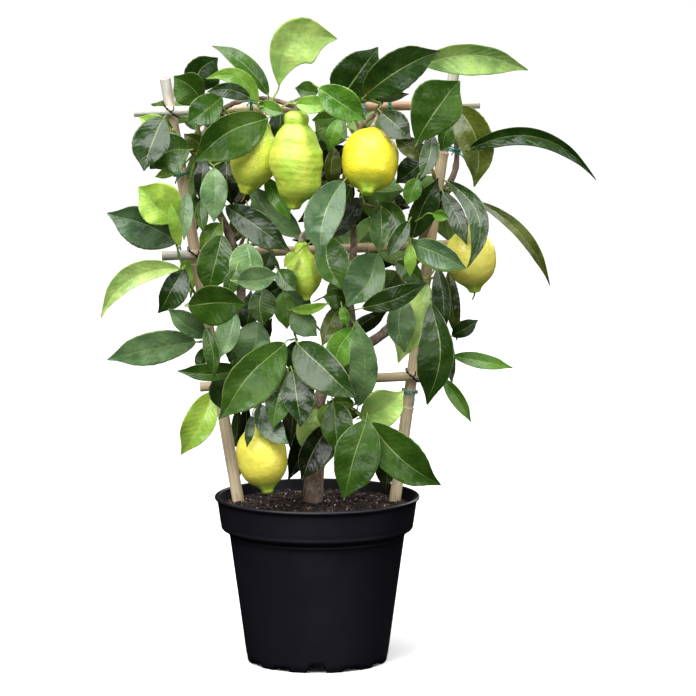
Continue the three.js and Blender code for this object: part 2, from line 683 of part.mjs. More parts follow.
// Where two lines of the elevation cross.
function crossing([ax, ay, bx, by], [cx, cy, dx, dy]) {
  const det = (bx - ax) * (dy - cy) - (by - ay) * (dx - cx);
  const share = ((cx - ax) * (dy - cy) - (cy - ay) * (dx - cx)) / det;
  return [mix(ax, bx, share), mix(ay, by, share)];
}

const BACK = new THREE.Vector3(0, 1, 0);

// The wire that lashes a rail to an upright, on the slant across their crossing.
function lashingPath(rail, upright, slant) {
  const [x, y] = crossing(rail, upright);
  const lean = slant * (Math.PI / 180);
  const u = new THREE.Vector3(Math.cos(lean), 0, Math.sin(lean));
  const halfWidth = ([x0, y0, x1, y1], radius) => {
    const along = place(x1, y1, 0).sub(place(x0, y0, 0)).normalize();
    return radius / Math.sin(along.angleTo(u));
  };
  const front = place(x, y, RAIL_DEPTH);
  const offset = place(x, y, CANE.uprightDepth).sub(front);
  const discs = [
    [0, 0, halfWidth(rail, CANE.railRadius), CANE.railRadius],
    [offset.dot(u), offset.y, halfWidth(upright, CANE.uprightRadius), CANE.uprightRadius],
  ];
  return loopPath(front, u, BACK, discs, WIRE.gap + WIRE.radius, WIRE.steps);
}

// A tie: a ring round a cane, or round a cane and a stem in front of it, with a loose tail.
function tieSolid({ cane, at, stem, tail }) {
  const { line, depth, radius } = cane in RAILS
    ? { line: RAILS[cane].line, depth: RAIL_DEPTH, radius: CANE.railRadius }
    : { line: UPRIGHTS[cane].line, depth: CANE.uprightDepth, radius: CANE.uprightRadius };
  const start = place(line[0], line[1], depth);
  const end = place(line[2], line[3], depth);
  const along = end.clone().sub(start).normalize();
  const u = along.clone().cross(BACK).normalize();
  const middle = start.clone().lerp(end, at);
  const discs = [[0, 0, radius, radius]];
  if (stem) {
    const offset = place(stem[0], stem[1], BRANCH_DEPTH).sub(middle);
    discs.push([offset.dot(u), BRANCH_DEPTH - depth, stem[2] + 0.8, stem[2] + 0.4]);
  }
  const path = loopPath(middle, u, BACK, discs, TIE.gap + TIE.radius, TIE.steps);
  const radii = path.map(() => TIE.radius);
  noteBar([...path, path[0]], [...radii, radii[0]]);
  const knot = path.reduce((best, point) => (point.y < best.y ? point : best));
  const loose = tail.map(([x, y], i) => knot.clone().add(new THREE.Vector3(x, -0.8 * (i + 1), -y)));
  const points = [knot, ...loose];
  const thinner = points.map(() => TIE.radius * 0.8);
  noteBar(points, thinner);
  return fuse([bar(path, radii, WIRE.sides, true), bar(points, thinner, WIRE.sides)]);
}

// ---------------------------------------------------------------- wood and fruit

function stemPath(name) {
  return {
    points: STEMS[name].map(([x, y]) => place(x, y, BRANCH_DEPTH)),
    radii: STEMS[name].map(([, , radius]) => radius),
  };
}

// The stems, each radius made larger by extra.
function stemSolids(extra) {
  return Object.keys(STEMS).map((name) => {
    const { points, radii } = stemPath(name);
    return bar(points, radii.map((radius) => radius + extra), 8);
  });
}

// The stalk of a fruit, from the wood to just short of the fruit's top, its radius made larger by extra.
function stalkSolid({ line: [x0, y0, x1, y1], forward, stalk }, depth, extra) {
  const top = place(x0, y0, depth);
  const axis = place(x1, y1, depth - forward).sub(top).normalize();
  const [first, ...rest] = stalk;
  const points = [place(...first, BRANCH_DEPTH)];
  rest.forEach(([x, y], i) => {
    points.push(place(x, y, mix(BRANCH_DEPTH, depth, (i + 1) / (rest.length + 0.4))));
  });
  points.push(top.clone().addScaledVector(axis, -5), top.clone().addScaledVector(axis, -FRUIT_GAP));
  const radii = points.map((_, i) => (i === points.length - 1 ? STALK.cap : STALK.radius) + extra);
  return bar(points, radii, 5);
}

const FRUIT_SIDES = 12;
const FRUIT_SKIN = [[0.03, 0.3], [0.09, 0.56], [0.19, 0.82], [0.32, 0.97], [0.46, 1], [0.6, 0.96],
  [0.73, 0.82], [0.83, 0.58], [0.89, 0.36], [0.93, 0.26], [0.98, 0.2]];

// The outline of a fruit of unit length: [radius, distance from its stalk end].
function fruitProfile(neck) {
  const profile = [[0, 0.015], [0.16, 0]];
  if (neck > 0) {
    profile.push([0.34, 0.02], [0.42, 0.05 + neck * 0.3]);
  }
  for (const [share, radius] of FRUIT_SKIN) {
    const isNeck = share < 0.2;
    profile.push([isNeck && neck > 0 ? Math.max(radius, 0.47) : radius, mix(neck * 0.62, 1, share)]);
  }
  profile.push([0, 1]);
  return neck > 0.05 ? profile.filter((point, i) => i < 4 || i > 5) : profile;
}

function fruitSolid({ line: [x0, y0, x1, y1], radius, forward, neck }, depth) {
  const top = place(x0, y0, depth);
  const end = place(x1, y1, depth - forward);
  const length = top.distanceTo(end);
  const profile = fruitProfile(neck).map(([girth, along]) => [girth * radius, along * length]);
  const geometry = turnedGeometry(profile, FRUIT_SIDES);
  const axis = end.clone().sub(top).normalize();
  const turn = new THREE.Quaternion().setFromUnitVectors(new THREE.Vector3(0, 0, 1), axis);
  return solidOf(geometry.applyQuaternion(turn).translate(top.x, top.y, top.z));
}

// Samples over a fruit's back half, [x, y, depth], with its stalk end at depth 0.
function fruitSamples({ line: [x0, y0, x1, y1], radius, forward, neck }) {
  const samples = [];
  const profile = fruitProfile(neck);
  const length = Math.hypot(x1 - x0, y1 - y0);
  const right = [-(y1 - y0) / length, (x1 - x0) / length];
  for (let i = 0; i < profile.length - 1; i++) {
    for (const part of [0, 0.34, 0.67]) {
      const girth = radius * mix(profile[i][0], profile[i + 1][0], part);
      const along = mix(profile[i][1], profile[i + 1][1], part);
      for (let offset = -1; offset <= 1.001; offset += 0.125) {
        const rim = girth * Math.sqrt(Math.max(1 - offset * offset, 0));
        samples.push([
          mix(x0, x1, along) + right[0] * girth * offset,
          mix(y0, y1, along) + right[1] * girth * offset,
          -forward * along + rim, rim,
        ]);
      }
    }
  }
  return samples;
}

// ---------------------------------------------------------------- leaves

// Where a blade's edges and rib have a vertex: [share of its length, share of its width there].
const STATIONS = {
  large: [[0.15, 0.6], [0.45, 1], [0.77, 0.74]],
  small: [[0.26, 0.88], [0.66, 0.94]],
};
const LEANS = [0.05, 0.2, 0.36, 0.52]; // how far a tip may come forward, as shares of the blade's length

// Rows of [left edge, rib, right edge] along a blade, each [x, y, depth] with the base at depth 0.
function bladeRows([x0, y0, x1, y1, width, , bend, turn, late = 1], number, lean, sign) {
  const length = Math.hypot(x1 - x0, y1 - y0);
  const [ux, uy] = [(x1 - x0) / length, (y1 - y0) / length];
  const fold = Math.tan(vary(number * 3, 0.6, 1.5) * BLADE.fold * (Math.PI / 180));
  const roll = Math.tan((turn + vary(number * 7, -14, 14)) * (Math.PI / 180));
  const curl = vary(number * 5, 0.25, 0.65);
  return STATIONS[length > LARGE_BLADE ? "large" : "small"].map(([at, breadth], i) => {
    const share = at ** (1 / late);
    const bow = 2 * share * (1 - share) * bend * length;
    const x = mix(x0, x1, share) - uy * bow;
    const y = mix(y0, y1, share) + ux * bow;
    const slope = 2 * (1 - 2 * share) * bend;
    const norm = Math.hypot(1, slope);
    const [rx, ry] = [(-uy - ux * slope) / norm, (ux - uy * slope) / norm];
    const half = (breadth * width) / 2;
    const depth = -sign * length * (lean * share + curl * 0.22 * Math.sin(share * Math.PI));
    const wave = (i % 2 === 0 ? 1 : -1) * vary(number * 11 + i, 0.2, 1) * width * 0.035;
    const edge = (side) => [
      x + side * rx * half, y + side * ry * half,
      depth + sign * (-fold * half + wave * side) + roll * half * side,
    ];
    return [edge(-1), [x, y, depth], edge(1)];
  });
}

function bladeEnds([x0, y0, x1, y1], lean, sign) {
  const length = Math.hypot(x1 - x0, y1 - y0);
  return [[x0, y0, 0], [x1, y1, -sign * length * lean]];
}

// Samples over a blade, [x, y, depth].
function bladeSamples(rows, [base, tip]) {
  const all = [[base, base, base], ...rows, [tip, tip, tip]];
  const samples = [];
  const parts = 5;
  for (let i = 0; i < all.length - 1; i++) {
    for (const side of [0, 1]) {
      for (let a = 0; a <= parts; a++) {
        for (let b = 0; b <= parts; b++) {
          samples.push([0, 1, 2].map((k) => mix(
            mix(all[i][side][k], all[i][side + 1][k], b / parts),
            mix(all[i + 1][side][k], all[i + 1][side + 1][k], b / parts),
            a / parts,
          )));
        }
      }
    }
  }
  return samples;
}

// A leaf: a blade of even thickness, its two faces split into triangles alike, and the three-sided stalk
// that runs from the blade's base to a point on the twig.
function leafSolid(rows, [base, tip], shift, from) {
  const middle = [base, ...rows.flat(), tip].map(([x, y, depth]) => place(x, y, depth + shift));
  const last = middle.length - 1;
  const faces = [];
  for (let i = 0; i < rows.length - 1; i++) {
    const a = 1 + i * 3;
    faces.push([a, a + 1, a + 4], [a, a + 4, a + 3], [a + 1, a + 2, a + 4], [a + 2, a + 5, a + 4]);
  }
  faces.push([0, 2, 1], [0, 3, 2], [last - 3, last - 2, last], [last - 2, last - 1, last]);
  const normals = middle.map(() => new THREE.Vector3());
  for (const [a, b, c] of faces) {
    const normal = middle[b].clone().sub(middle[a]).cross(middle[c].clone().sub(middle[a])).normalize();
    [a, b, c].forEach((i) => normals[i].add(normal));
  }
  normals.forEach((normal) => normal.normalize());
  const face = (offset) => middle.map((point, i) => point.clone().addScaledVector(normals[i], offset));
  const vertices = [...face(BLADE.thickness / 2), ...face(-BLADE.thickness / 2)];
  const count = middle.length;

  // A ring of the stalk: [above, below left, below right].
  const along = middle[0].clone().sub(middle[2]).normalize();
  const left = middle[1].clone().sub(middle[3]);
  left.addScaledVector(along, -left.dot(along));
  left.addScaledVector(normals[0], -left.dot(normals[0])).normalize();
  const ring = (point, turn) => [[1, 0], [-0.5, 0.87], [-0.5, -0.87]].map(([up, aside]) => {
    const spoke = normals[0].clone().multiplyScalar(up).addScaledVector(left, aside).applyQuaternion(turn);
    return point.clone().addScaledVector(spoke, PETIOLE.radius);
  });
  const right = vertices.length;
  [vertices[0], vertices[count], vertices[right]] = ring(middle[0], new THREE.Quaternion());

  // Both faces, and the rim from the stalk round the tip and back to the stalk.
  const triangles = faces.flatMap(([a, b, c]) => [[a, b, c], [a + count, c + count, b + count]]);
  triangles.forEach((corners) => {
    if (corners.includes(3 + count) && corners[0] === count) {
      corners[0] = right;
    }
  });
  triangles.push([count, 2 + count, right]);
  const lefts = rows.map((row, i) => 1 + i * 3);
  const rights = rows.map((row, i) => 3 + i * 3);
  const rim = [0, ...lefts, last, ...rights.reverse()];
  for (let i = 0; i < rim.length - 1; i++) {
    triangles.push([rim[i], rim[i + 1], rim[i + 1] + count], [rim[i], rim[i + 1] + count, rim[i] + count]);
  }
  triangles.push([3, 0, right], [3, right, 3 + count]);

  // The stalk turns on its way when the twig isn't behind the blade's base.
  const bend = middle[0].clone().addScaledVector(along, PETIOLE.bend);
  const away = from.clone().sub(bend).normalize();
  const whole = new THREE.Quaternion().setFromUnitVectors(along, away);
  const partly = new THREE.Quaternion().slerp(whole, 0.5);
  const route = along.dot(away) > 0.45 ? [[from, whole]] : [[bend, partly], [from, whole]];
  let previous = [0, count, right];
  for (const [point, turn] of route) {
    const next = [0, 1, 2].map((i) => vertices.length + i);
    vertices.push(...ring(point, turn));
    for (let i = 0; i < 3; i++) {
      const j = (i + 1) % 3;
      triangles.push([previous[i], previous[j], next[j]], [previous[i], next[j], next[i]]);
    }
    previous = next;
  }
  triangles.push(previous);
  return solid(vertices, triangles);
}

// ---------------------------------------------------------------- shoots

// The twig of a shoot: from its root on the wood it comes clear of all that is noted and runs at one depth.
function layTwig(route, behind) {
  const radius = TWIG.radius;
  const samples = [];
  for (let i = 1; i < route.length - 1; i++) {
    const [[x0, y0], [x1, y1]] = [route[i], route[i + 1]];
    const steps = Math.ceil(Math.hypot(x1 - x0, y1 - y0) / 2);
    for (let step = 0; step <= steps; step++) {
      samples.push([mix(x0, x1, step / steps), mix(y0, y1, step / steps), 0]);
    }
  }
  if (samples.length === 0) {
    samples.push([...route[route.length - 1], 0]);
  }
  const start = behind ? BLADE.backDepth : BRANCH_DEPTH - TWIG.ahead;
  const depth = clearShift(samples, radius, start, behind);
  const points = route.map(([x, y], i) => place(x, y, i === 0 ? BRANCH_DEPTH : depth));
  const radii = route.map((_, i) => radius * mix(1.25, 0.75, i / (route.length - 1)));
  noteBar(points, radii);
  return { points, radii };
}

// The point of a twig, past its root, that is seen nearest to a place of the elevation.
function nearestOnTwig({ points }, x, y) {
  let best = points[points.length - 1];
  let least = Infinity;
  for (let i = 0; i < points.length - 1; i++) {
    for (let step = i === 0 ? 6 : 0; step <= 10; step++) {
      const point = points[i].clone().lerp(points[i + 1], step / 10);
      const [px, py] = seen(point);
      const distance = Math.hypot(px - x, py - y);
      if (distance < least) {
        least = distance;
        best = point;
      }
    }
  }
  return best;
}

// Lays one leaf clear of all that is noted, leaning as little out of line as that allows.
function layLeaf(leaf, number, behind) {
  const sign = behind ? -1 : 1;
  const start = behind ? BLADE.backDepth : BLADE.frontDepth;
  let best = null;
  for (const lean of LEANS) {
    const rows = bladeRows(leaf, number, lean, sign);
    const ends = bladeEnds(leaf, lean, sign);
    const samples = bladeSamples(rows, ends);
    const shift = clearShift(samples, BLADE.thickness / 2, start, behind);
    const cost = sign * -shift + lean * 8;
    if (best === null || cost < best.cost) {
      best = { rows, ends, samples, shift, cost };
    }
  }
  for (const [x, y, depth] of best.samples) {
    note(x, y, best.shift + depth - BLADE.thickness / 2, best.shift + depth + BLADE.thickness / 2);
  }
  return best;
}

// The way of a leaf's stalk, from the twig to the blade's base.
function petiolePath(twig, leaf, { rows, ends, shift }) {
  const at = ([x, y, depth]) => place(x, y, depth + shift);
  const base = at(ends[0]);
  const bend = base.clone().addScaledVector(base.clone().sub(at(rows[0][1])).normalize(), PETIOLE.bend);
  const points = [nearestOnTwig(twig, leaf[0], leaf[1]), bend, base];
  return { points, radii: points.map(() => PETIOLE.radius) };
}

// Fruit and leaves by the order of their layers, from the branches forward and then backward.
function layingOrder() {
  const items = FRUITS.map((fruit) => ({ fruit, layer: fruit.layer }));
  for (const [name, { leaves }] of Object.entries(SHOOTS)) {
    leaves.forEach((leaf) => items.push({ name, leaf, layer: leaf[5] }));
  }
  const rank = ({ layer }) => (layer > 0 ? layer : 100 - layer);
  return items.sort((a, b) => rank(a) - rank(b));
}

// ---------------------------------------------------------------- assembly

const group = new THREE.Group();
group.name = "potted_lemon_tree";

const FINISH = {
  pot: { color: 0x1c1b22, roughness: 0.45 },
  soil: { color: 0x2b1a14, roughness: 1 },
  cane: { color: 0xc8ae88, roughness: 0.7 },
  wire: { color: 0x2a1e1a, roughness: 0.6 },
  tie: { color: 0x3fa88a, roughness: 0.5 },
  bark: { color: 0x8d7c60, roughness: 0.9 },
  lemon: { color: 0xf0dc2a, roughness: 0.45 },
  leaf: { color: 0x3f6b28, roughness: 0.4 },
};

function addNode(name, body, finish) {
  const { vertProperties, triVerts } = body.getMesh();
  let geometry = new THREE.BufferGeometry();
  geometry.setAttribute("position", new THREE.BufferAttribute(new Float32Array(vertProperties), 3));
  geometry.setIndex(Array.from(triVerts));
  geometry = mergeVertices(geometry, 1e-4);
  geometry.computeVertexNormals();
  const mesh = new THREE.Mesh(geometry, new THREE.MeshStandardMaterial({ metalness: 0, ...FINISH[finish] }));
  mesh.name = name;
  group.add(mesh);
}

// Stems first: everything else is laid clear of them.
for (const name of Object.keys(STEMS)) {
  const { points, radii } = stemPath(name);
  noteBar(points, radii);
}

// The trellis, with the wire round each crossing and the ties that hold stems to it.
const holes = [bar(stemPath("trunk").points, stemPath("trunk").radii.map((r) => r + HOLE_GAP), 16)];
for (const [name, { line, joints }] of Object.entries(UPRIGHTS)) {
  const { points, radii } = canePath(line, joints, CANE.uprightDepth, CANE.uprightRadius, CANE.buried);
  addNode(name, bar(points, radii, CANE.sides), "cane");
  const bore = CANE.uprightRadius + HOLE_GAP * 2;
  holes.push(bar([points[0], points[1]], [bore, bore], 16));
  noteBar(points, radii);
}
for (const [name, { line, joints }] of Object.entries(RAILS)) {
  const { points, radii } = canePath(line, joints, RAIL_DEPTH, CANE.railRadius);
  addNode(name, bar(points, radii, CANE.sides), "cane");
  noteBar(points, radii);
}
for (const [name, [rail, upright, slant]] of Object.entries(LASHINGS)) {
  const path = lashingPath(RAILS[rail].line, UPRIGHTS[upright].line, slant);
  const radii = path.map(() => WIRE.radius);
  addNode(name, bar(path, radii, WIRE.sides, true), "wire");
  noteBar([...path, path[0]], [...radii, radii[0]]);
}
for (const [name, tie] of Object.entries(TIES)) {
  addNode(name, tieSolid(tie), "tie");
}

// Fruit and leaves, each laid clear of what was laid before it.
const fruitDepths = {};
const shoots = {};
layingOrder().forEach(({ fruit, name, leaf, layer }, index) => {
  if (fruit) {
    const samples = fruitSamples(fruit);
    const depth = clearShift(samples, 0, -10, false);
    fruitDepths[fruit.name] = depth;
    samples.forEach(([x, y, back, rim]) => note(x, y, depth + back - 2 * rim, depth + back));
    return;
  }
  const behind = layer < 0;
  shoots[name] ??= { twig: layTwig(SHOOTS[name].twig, behind), leaves: [] };
  const laid = layLeaf(leaf, index, behind);
  const petiole = petiolePath(shoots[name].twig, leaf, laid);
  noteBar(petiole.points, petiole.radii);
  shoots[name].leaves.push({ laid, petiole });
});

// The wood is one piece with the stalks of its fruit. The shoots are cut back clear of it.
const stalkSolids = (extra) => FRUITS.map((fruit) => stalkSolid(fruit, fruitDepths[fruit.name], extra));
const woodRoom = fuse([...stemSolids(BARK_GAP), ...stalkSolids(BARK_GAP)]);
addNode("trunk_and_branches", fuse([...stemSolids(0), ...stalkSolids(0)]), "bark");
addNode("pot", potSolid(), "pot");
addNode("soil", soilSolid(holes), "soil");
for (const fruit of FRUITS) {
  addNode(fruit.name, fruitSolid(fruit, fruitDepths[fruit.name]), "lemon");
}
for (const [name, { twig, leaves }] of Object.entries(shoots)) {
  const parts = [bar(twig.points, twig.radii, TWIG.sides)];
  for (const { laid, petiole } of leaves) {
    parts.push(leafSolid(laid.rows, laid.ends, laid.shift, petiole.points[0]));
  }
  addNode(name, mainLump(fuse(parts).subtract(woodRoom)), "leaf");
}

export default group;
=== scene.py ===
"""A young lemon tree in a black nursery pot, trained flat on a bamboo ladder trellis.

Each sub-assembly is a class that holds its sizes, builds its meshes and dresses them. Sizes are in
millimetres and become metres where a mesh is made. +Z is up, -Y is the front, and the origin is on
the ground under the middle of the pot.

The canes, stems, leaves and fruit are laid out in one front elevation, seen from a little above:
each is drawn by where it starts and ends there. How deep a leaf or fruit lies follows from a rule:
layer by layer, each is set clear of all that was laid before it.
"""

import logging
import math
from dataclasses import dataclass, field
from enum import Enum
from typing import Callable, Optional, Sequence

import bmesh
import bpy
import numpy as np
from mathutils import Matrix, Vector, noise


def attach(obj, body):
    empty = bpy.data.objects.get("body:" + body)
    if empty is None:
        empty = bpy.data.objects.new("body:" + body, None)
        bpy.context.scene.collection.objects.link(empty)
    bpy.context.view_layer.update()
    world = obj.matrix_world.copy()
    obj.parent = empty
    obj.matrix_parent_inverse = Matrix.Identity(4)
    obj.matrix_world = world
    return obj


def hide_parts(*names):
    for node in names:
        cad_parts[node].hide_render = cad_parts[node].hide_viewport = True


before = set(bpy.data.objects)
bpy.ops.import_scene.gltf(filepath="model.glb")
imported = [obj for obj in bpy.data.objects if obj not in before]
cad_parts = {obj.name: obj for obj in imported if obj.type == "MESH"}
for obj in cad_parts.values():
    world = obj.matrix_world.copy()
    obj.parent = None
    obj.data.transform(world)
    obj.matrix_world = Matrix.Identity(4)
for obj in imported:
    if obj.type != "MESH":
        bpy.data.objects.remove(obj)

LOG = logging.getLogger("lemon_tree")
MM = 0.001
TURN = 2 * math.pi
BACK = np.array([0.0, 1.0, 0.0])
SEED = 7
# How deep the trunk and the branches lie, behind the middle of the pot.
WOOD_DEPTH = -4.0
Value = float | np.ndarray
Numbers = Sequence[float] | np.ndarray
Colour = tuple[float, float, float]
Route = tuple[tuple[float, float], ...]
Output = bpy.types.NodeSocket


# ---------------- numbers


def vary(number: float, low: float, high: float) -> float:
    """Returns a value between low and high that is steady for a number."""
    return low + (high - low) * ((number * 0.61803399 + 0.17) % 1)


def mix(start: Value, end: Value, share: Value) -> Value:
    """Returns what lies at a share of the way from start to end."""
    return start + (end - start) * share


def ease(value: Value, low: float, high: float) -> Value:
    """Returns 0 below low and 1 above high, with a smooth rise between them."""
    share = np.clip((value - low) / (high - low), 0, 1)
    return share * share * (3 - 2 * share)


def bell(value: Value, width: float) -> Value:
    """Returns 1 at a value of 0, and less and less to either side."""
    return np.exp(-((value / width) ** 2))


def unit(rows: np.ndarray) -> np.ndarray:
    """Returns the rows at length one."""
    return rows / np.maximum(np.linalg.norm(rows, axis=-1, keepdims=True), 1e-9)


def angles(sides: int) -> np.ndarray:
    """Returns the angles of the points of a ring."""
    return np.arange(sides) / sides * TURN


def paint(code: str) -> Colour:
    """Returns a colour as light, from how it is seen, such as #2f4f1f."""
    parts = [int(code[i : i + 2], 16) / 255 for i in (1, 3, 5)]
    return tuple(p / 12.92 if p <= 0.04045 else ((p + 0.055) / 1.055) ** 2.4 for p in parts)


def reach_along(path: np.ndarray) -> np.ndarray:
    """Returns how far along a line each of its points lies."""
    return np.concatenate([[0], np.cumsum(np.linalg.norm(np.diff(path, axis=0), axis=1))])


def heading(path: np.ndarray, closed: bool) -> np.ndarray:
    """Returns a line's direction at each of its points."""
    ahead = np.roll(path, -1, axis=0) - np.roll(path, 1, axis=0)
    return unit(ahead if closed else np.gradient(path, axis=0))


def flowing(rows: np.ndarray, step: float) -> np.ndarray:
    """Draws a smooth line through points, whose other columns, such as a radius, flow with them.

    Args:
        rows: the points, three numbers each and then whatever flows with them.
        step: the distance between the line's own points.

    Returns:
        The line's rows, with the first and last of the given ones at its ends.
    """
    rows = np.asarray(rows, float)
    at = reach_along(rows[:, :3])
    slopes = np.gradient(rows, at, axis=0, edge_order=1)
    where = np.linspace(0, at[-1], max(3, int(at[-1] / step) + 1))
    index = np.clip(np.searchsorted(at, where, side="right") - 1, 0, len(rows) - 2)
    span = np.diff(at)[index][:, None]
    t = (where - at[index])[:, None] / span
    return (
        (2 * t**3 - 3 * t**2 + 1) * rows[index] + (t**3 - 2 * t**2 + t) * slopes[index] * span
        + (3 * t**2 - 2 * t**3) * rows[index + 1] + (t**3 - t**2) * slopes[index + 1] * span
    )


def round_rings(top: np.ndarray, end: np.ndarray, along: np.ndarray, girth: np.ndarray) -> np.ndarray:
    """Draws rings round the line from top to end.

    Args:
        top: where the line starts.
        end: where it points.
        along: how far from the top each ring lies.
        girth: each ring's radius at each angle.

    Returns:
        The points, ring by ring.
    """
    axis, angle = unit(end - top), angles(girth.shape[1])
    side = unit(np.cross(axis, BACK))
    other = np.cross(side, axis)
    right, back = (girth * np.cos(angle))[..., None], (girth * np.sin(angle))[..., None]
    return top + along[:, None, None] * axis + right * side + back * other


def level_ring(radius: Value, angle: np.ndarray, height: Value) -> np.ndarray:
    """Returns the points of a level ring about the pot's middle, or of several."""
    parts = np.broadcast_arrays(radius * np.cos(angle), radius * np.sin(angle), height)
    return np.stack(parts, axis=-1)


# ---------------- the front elevation


@dataclass(frozen=True)
class Elevation:
    """The front view that the tree is drawn in: (right, down) from its corner, at full size."""

    middle: float = 348.0
    axis_x: float = 317.0
    ground_y: float = 662.0
    tilt: float = math.radians(7.6)
    distance: float = 4000.0

    def place(self, x: Value, y: Value, depth: Value) -> np.ndarray:
        """Carries places of the elevation into space.

        Args:
            x: how far right each lies.
            y: how far down.
            depth: how far behind the middle of the pot.

        Returns:
            The points, in millimetres.
        """
        x, y, depth = np.broadcast_arrays(*(np.asarray(value, float) for value in (x, y, depth)))
        cos_tilt, sin_tilt = math.cos(self.tilt), math.sin(self.tilt)
        rise = self.middle - y
        reach = self.distance * cos_tilt
        scale = (1 + depth / reach) / (1 + rise * sin_tilt / reach)
        height = self.ground_y - self.middle + rise * scale
        right = self.middle - self.axis_x + (x - self.middle) * scale
        return np.stack([right, depth, (height - depth * sin_tilt) / cos_tilt], axis=-1)

    def seen(self, point: Numbers) -> tuple[float, float]:
        """Finds where a point in space is seen.

        Args:
            point: the point.

        Returns:
            How far right and how far down it is.
        """
        cos_tilt, sin_tilt = math.cos(self.tilt), math.sin(self.tilt)
        rise = point[2] * cos_tilt + point[1] * sin_tilt - (self.ground_y - self.middle)
        scale = 1 / (1 + (point[1] - rise * sin_tilt) / cos_tilt / self.distance)
        return self.middle + (point[0] - self.middle + self.axis_x) * scale, self.middle - rise * scale


SHEET = Elevation()


class Stack:
    """What lies over each small cell of the elevation: the foremost and the hindmost depth there."""

    CELL = 3.0
    MARGIN = 60
    SPAN = 360
    GAP = 3.4
    STEP = 2

    def __init__(self) -> None:
        """Starts with nothing laid."""
        self.fore = np.full((self.SPAN, self.SPAN), np.inf)
        self.hind = np.full((self.SPAN, self.SPAN), -np.inf)

    def cells(self, *places: Value) -> list[np.ndarray]:
        """Returns the columns and rows that places right and down lie in."""
        return [np.floor(np.asarray(at, float) / self.CELL).astype(int) + self.MARGIN for at in places]

    def note(self, x: Value, y: Value, near: Value, far: Value) -> None:
        """Notes what lies at places of the elevation.

        Args:
            x: how far right each place is.
            y: how far down.
            near: the depth where the thing's front lies there.
            far: the depth of its back.
        """
        cells = tuple(self.cells(x, y))
        np.minimum.at(self.fore, cells, near)
        np.maximum.at(self.hind, cells, far)

    def note_bar(self, points: np.ndarray, radii: Sequence[float]) -> None:
        """Notes a round bar.

        Args:
            points: the bar's line in space.
            radii: its radius at each of them.
        """
        for i in range(len(points) - 1):
            steps = max(1, math.ceil(float(np.linalg.norm(points[i + 1] - points[i])) / self.STEP))
            for step in range(steps + 1):
                point = mix(points[i], points[i + 1], step / steps)
                radius = mix(radii[i], radii[i + 1], step / steps)
                x, y = SHEET.seen(point)
                reach = math.ceil(radius / self.STEP) * self.STEP
                dx, dy = np.meshgrid(*[np.arange(-reach, reach + 1, self.STEP)] * 2, indexing="ij")
                rim = radius * radius - dx * dx - dy * dy
                kept = rim >= -(self.STEP**2)
                half = np.sqrt(np.maximum(rim[kept], 0))
                self.note(x + dx[kept], y + dy[kept], point[1] - half, point[1] + half)

    def clear(self, samples: np.ndarray, half: float, start: float, behind: bool) -> float:
        """Finds how far to shift samples in depth so that they clear all that is noted.

        Args:
            samples: rows of x, y and depth.
            half: half the thickness of what they stand for.
            start: the shift where nothing is in the way.
            behind: whether the thing goes to the back rather than to the front.

        Returns:
            The shift: at most start in front, or at least start behind.
        """
        column, row = self.cells(samples[:, 0], samples[:, 1])
        table = self.hind if behind else self.fore
        around = np.stack([table[column + i, row + j] for i in (-1, 0, 1) for j in (-1, 0, 1)])
        if behind:
            return max(start, float(np.max(around.max(axis=0) + self.GAP + half - samples[:, 2])))
        return min(start, float(np.min(around.min(axis=0) - self.GAP - half - samples[:, 2])))


# ---------------- meshes


def grid_faces(rows: int, columns: int, wrap_rows: bool = False, wrap_columns: bool = True,
               flip: bool = False, start: int = 0) -> list[tuple[int, ...]]:
    """Lists the four-sided faces of a grid of points.

    Args:
        rows: how many rows the grid has.
        columns: how many columns.
        wrap_rows: whether the last row joins the first.
        wrap_columns: whether the last column joins the first.
        flip: whether the faces look the other way.
        start: the number of the grid's first point.

    Returns:
        The faces, by the points' numbers.
    """
    faces = []
    for row in range(rows if wrap_rows else rows - 1):
        here, below = start + row * columns, start + (row + 1) % rows * columns
        for column in range(columns if wrap_columns else columns - 1):
            beside = (column + 1) % columns
            face = (here + column, here + beside, below + beside, below + column)
            faces.append(face[::-1] if flip else face)
    return faces


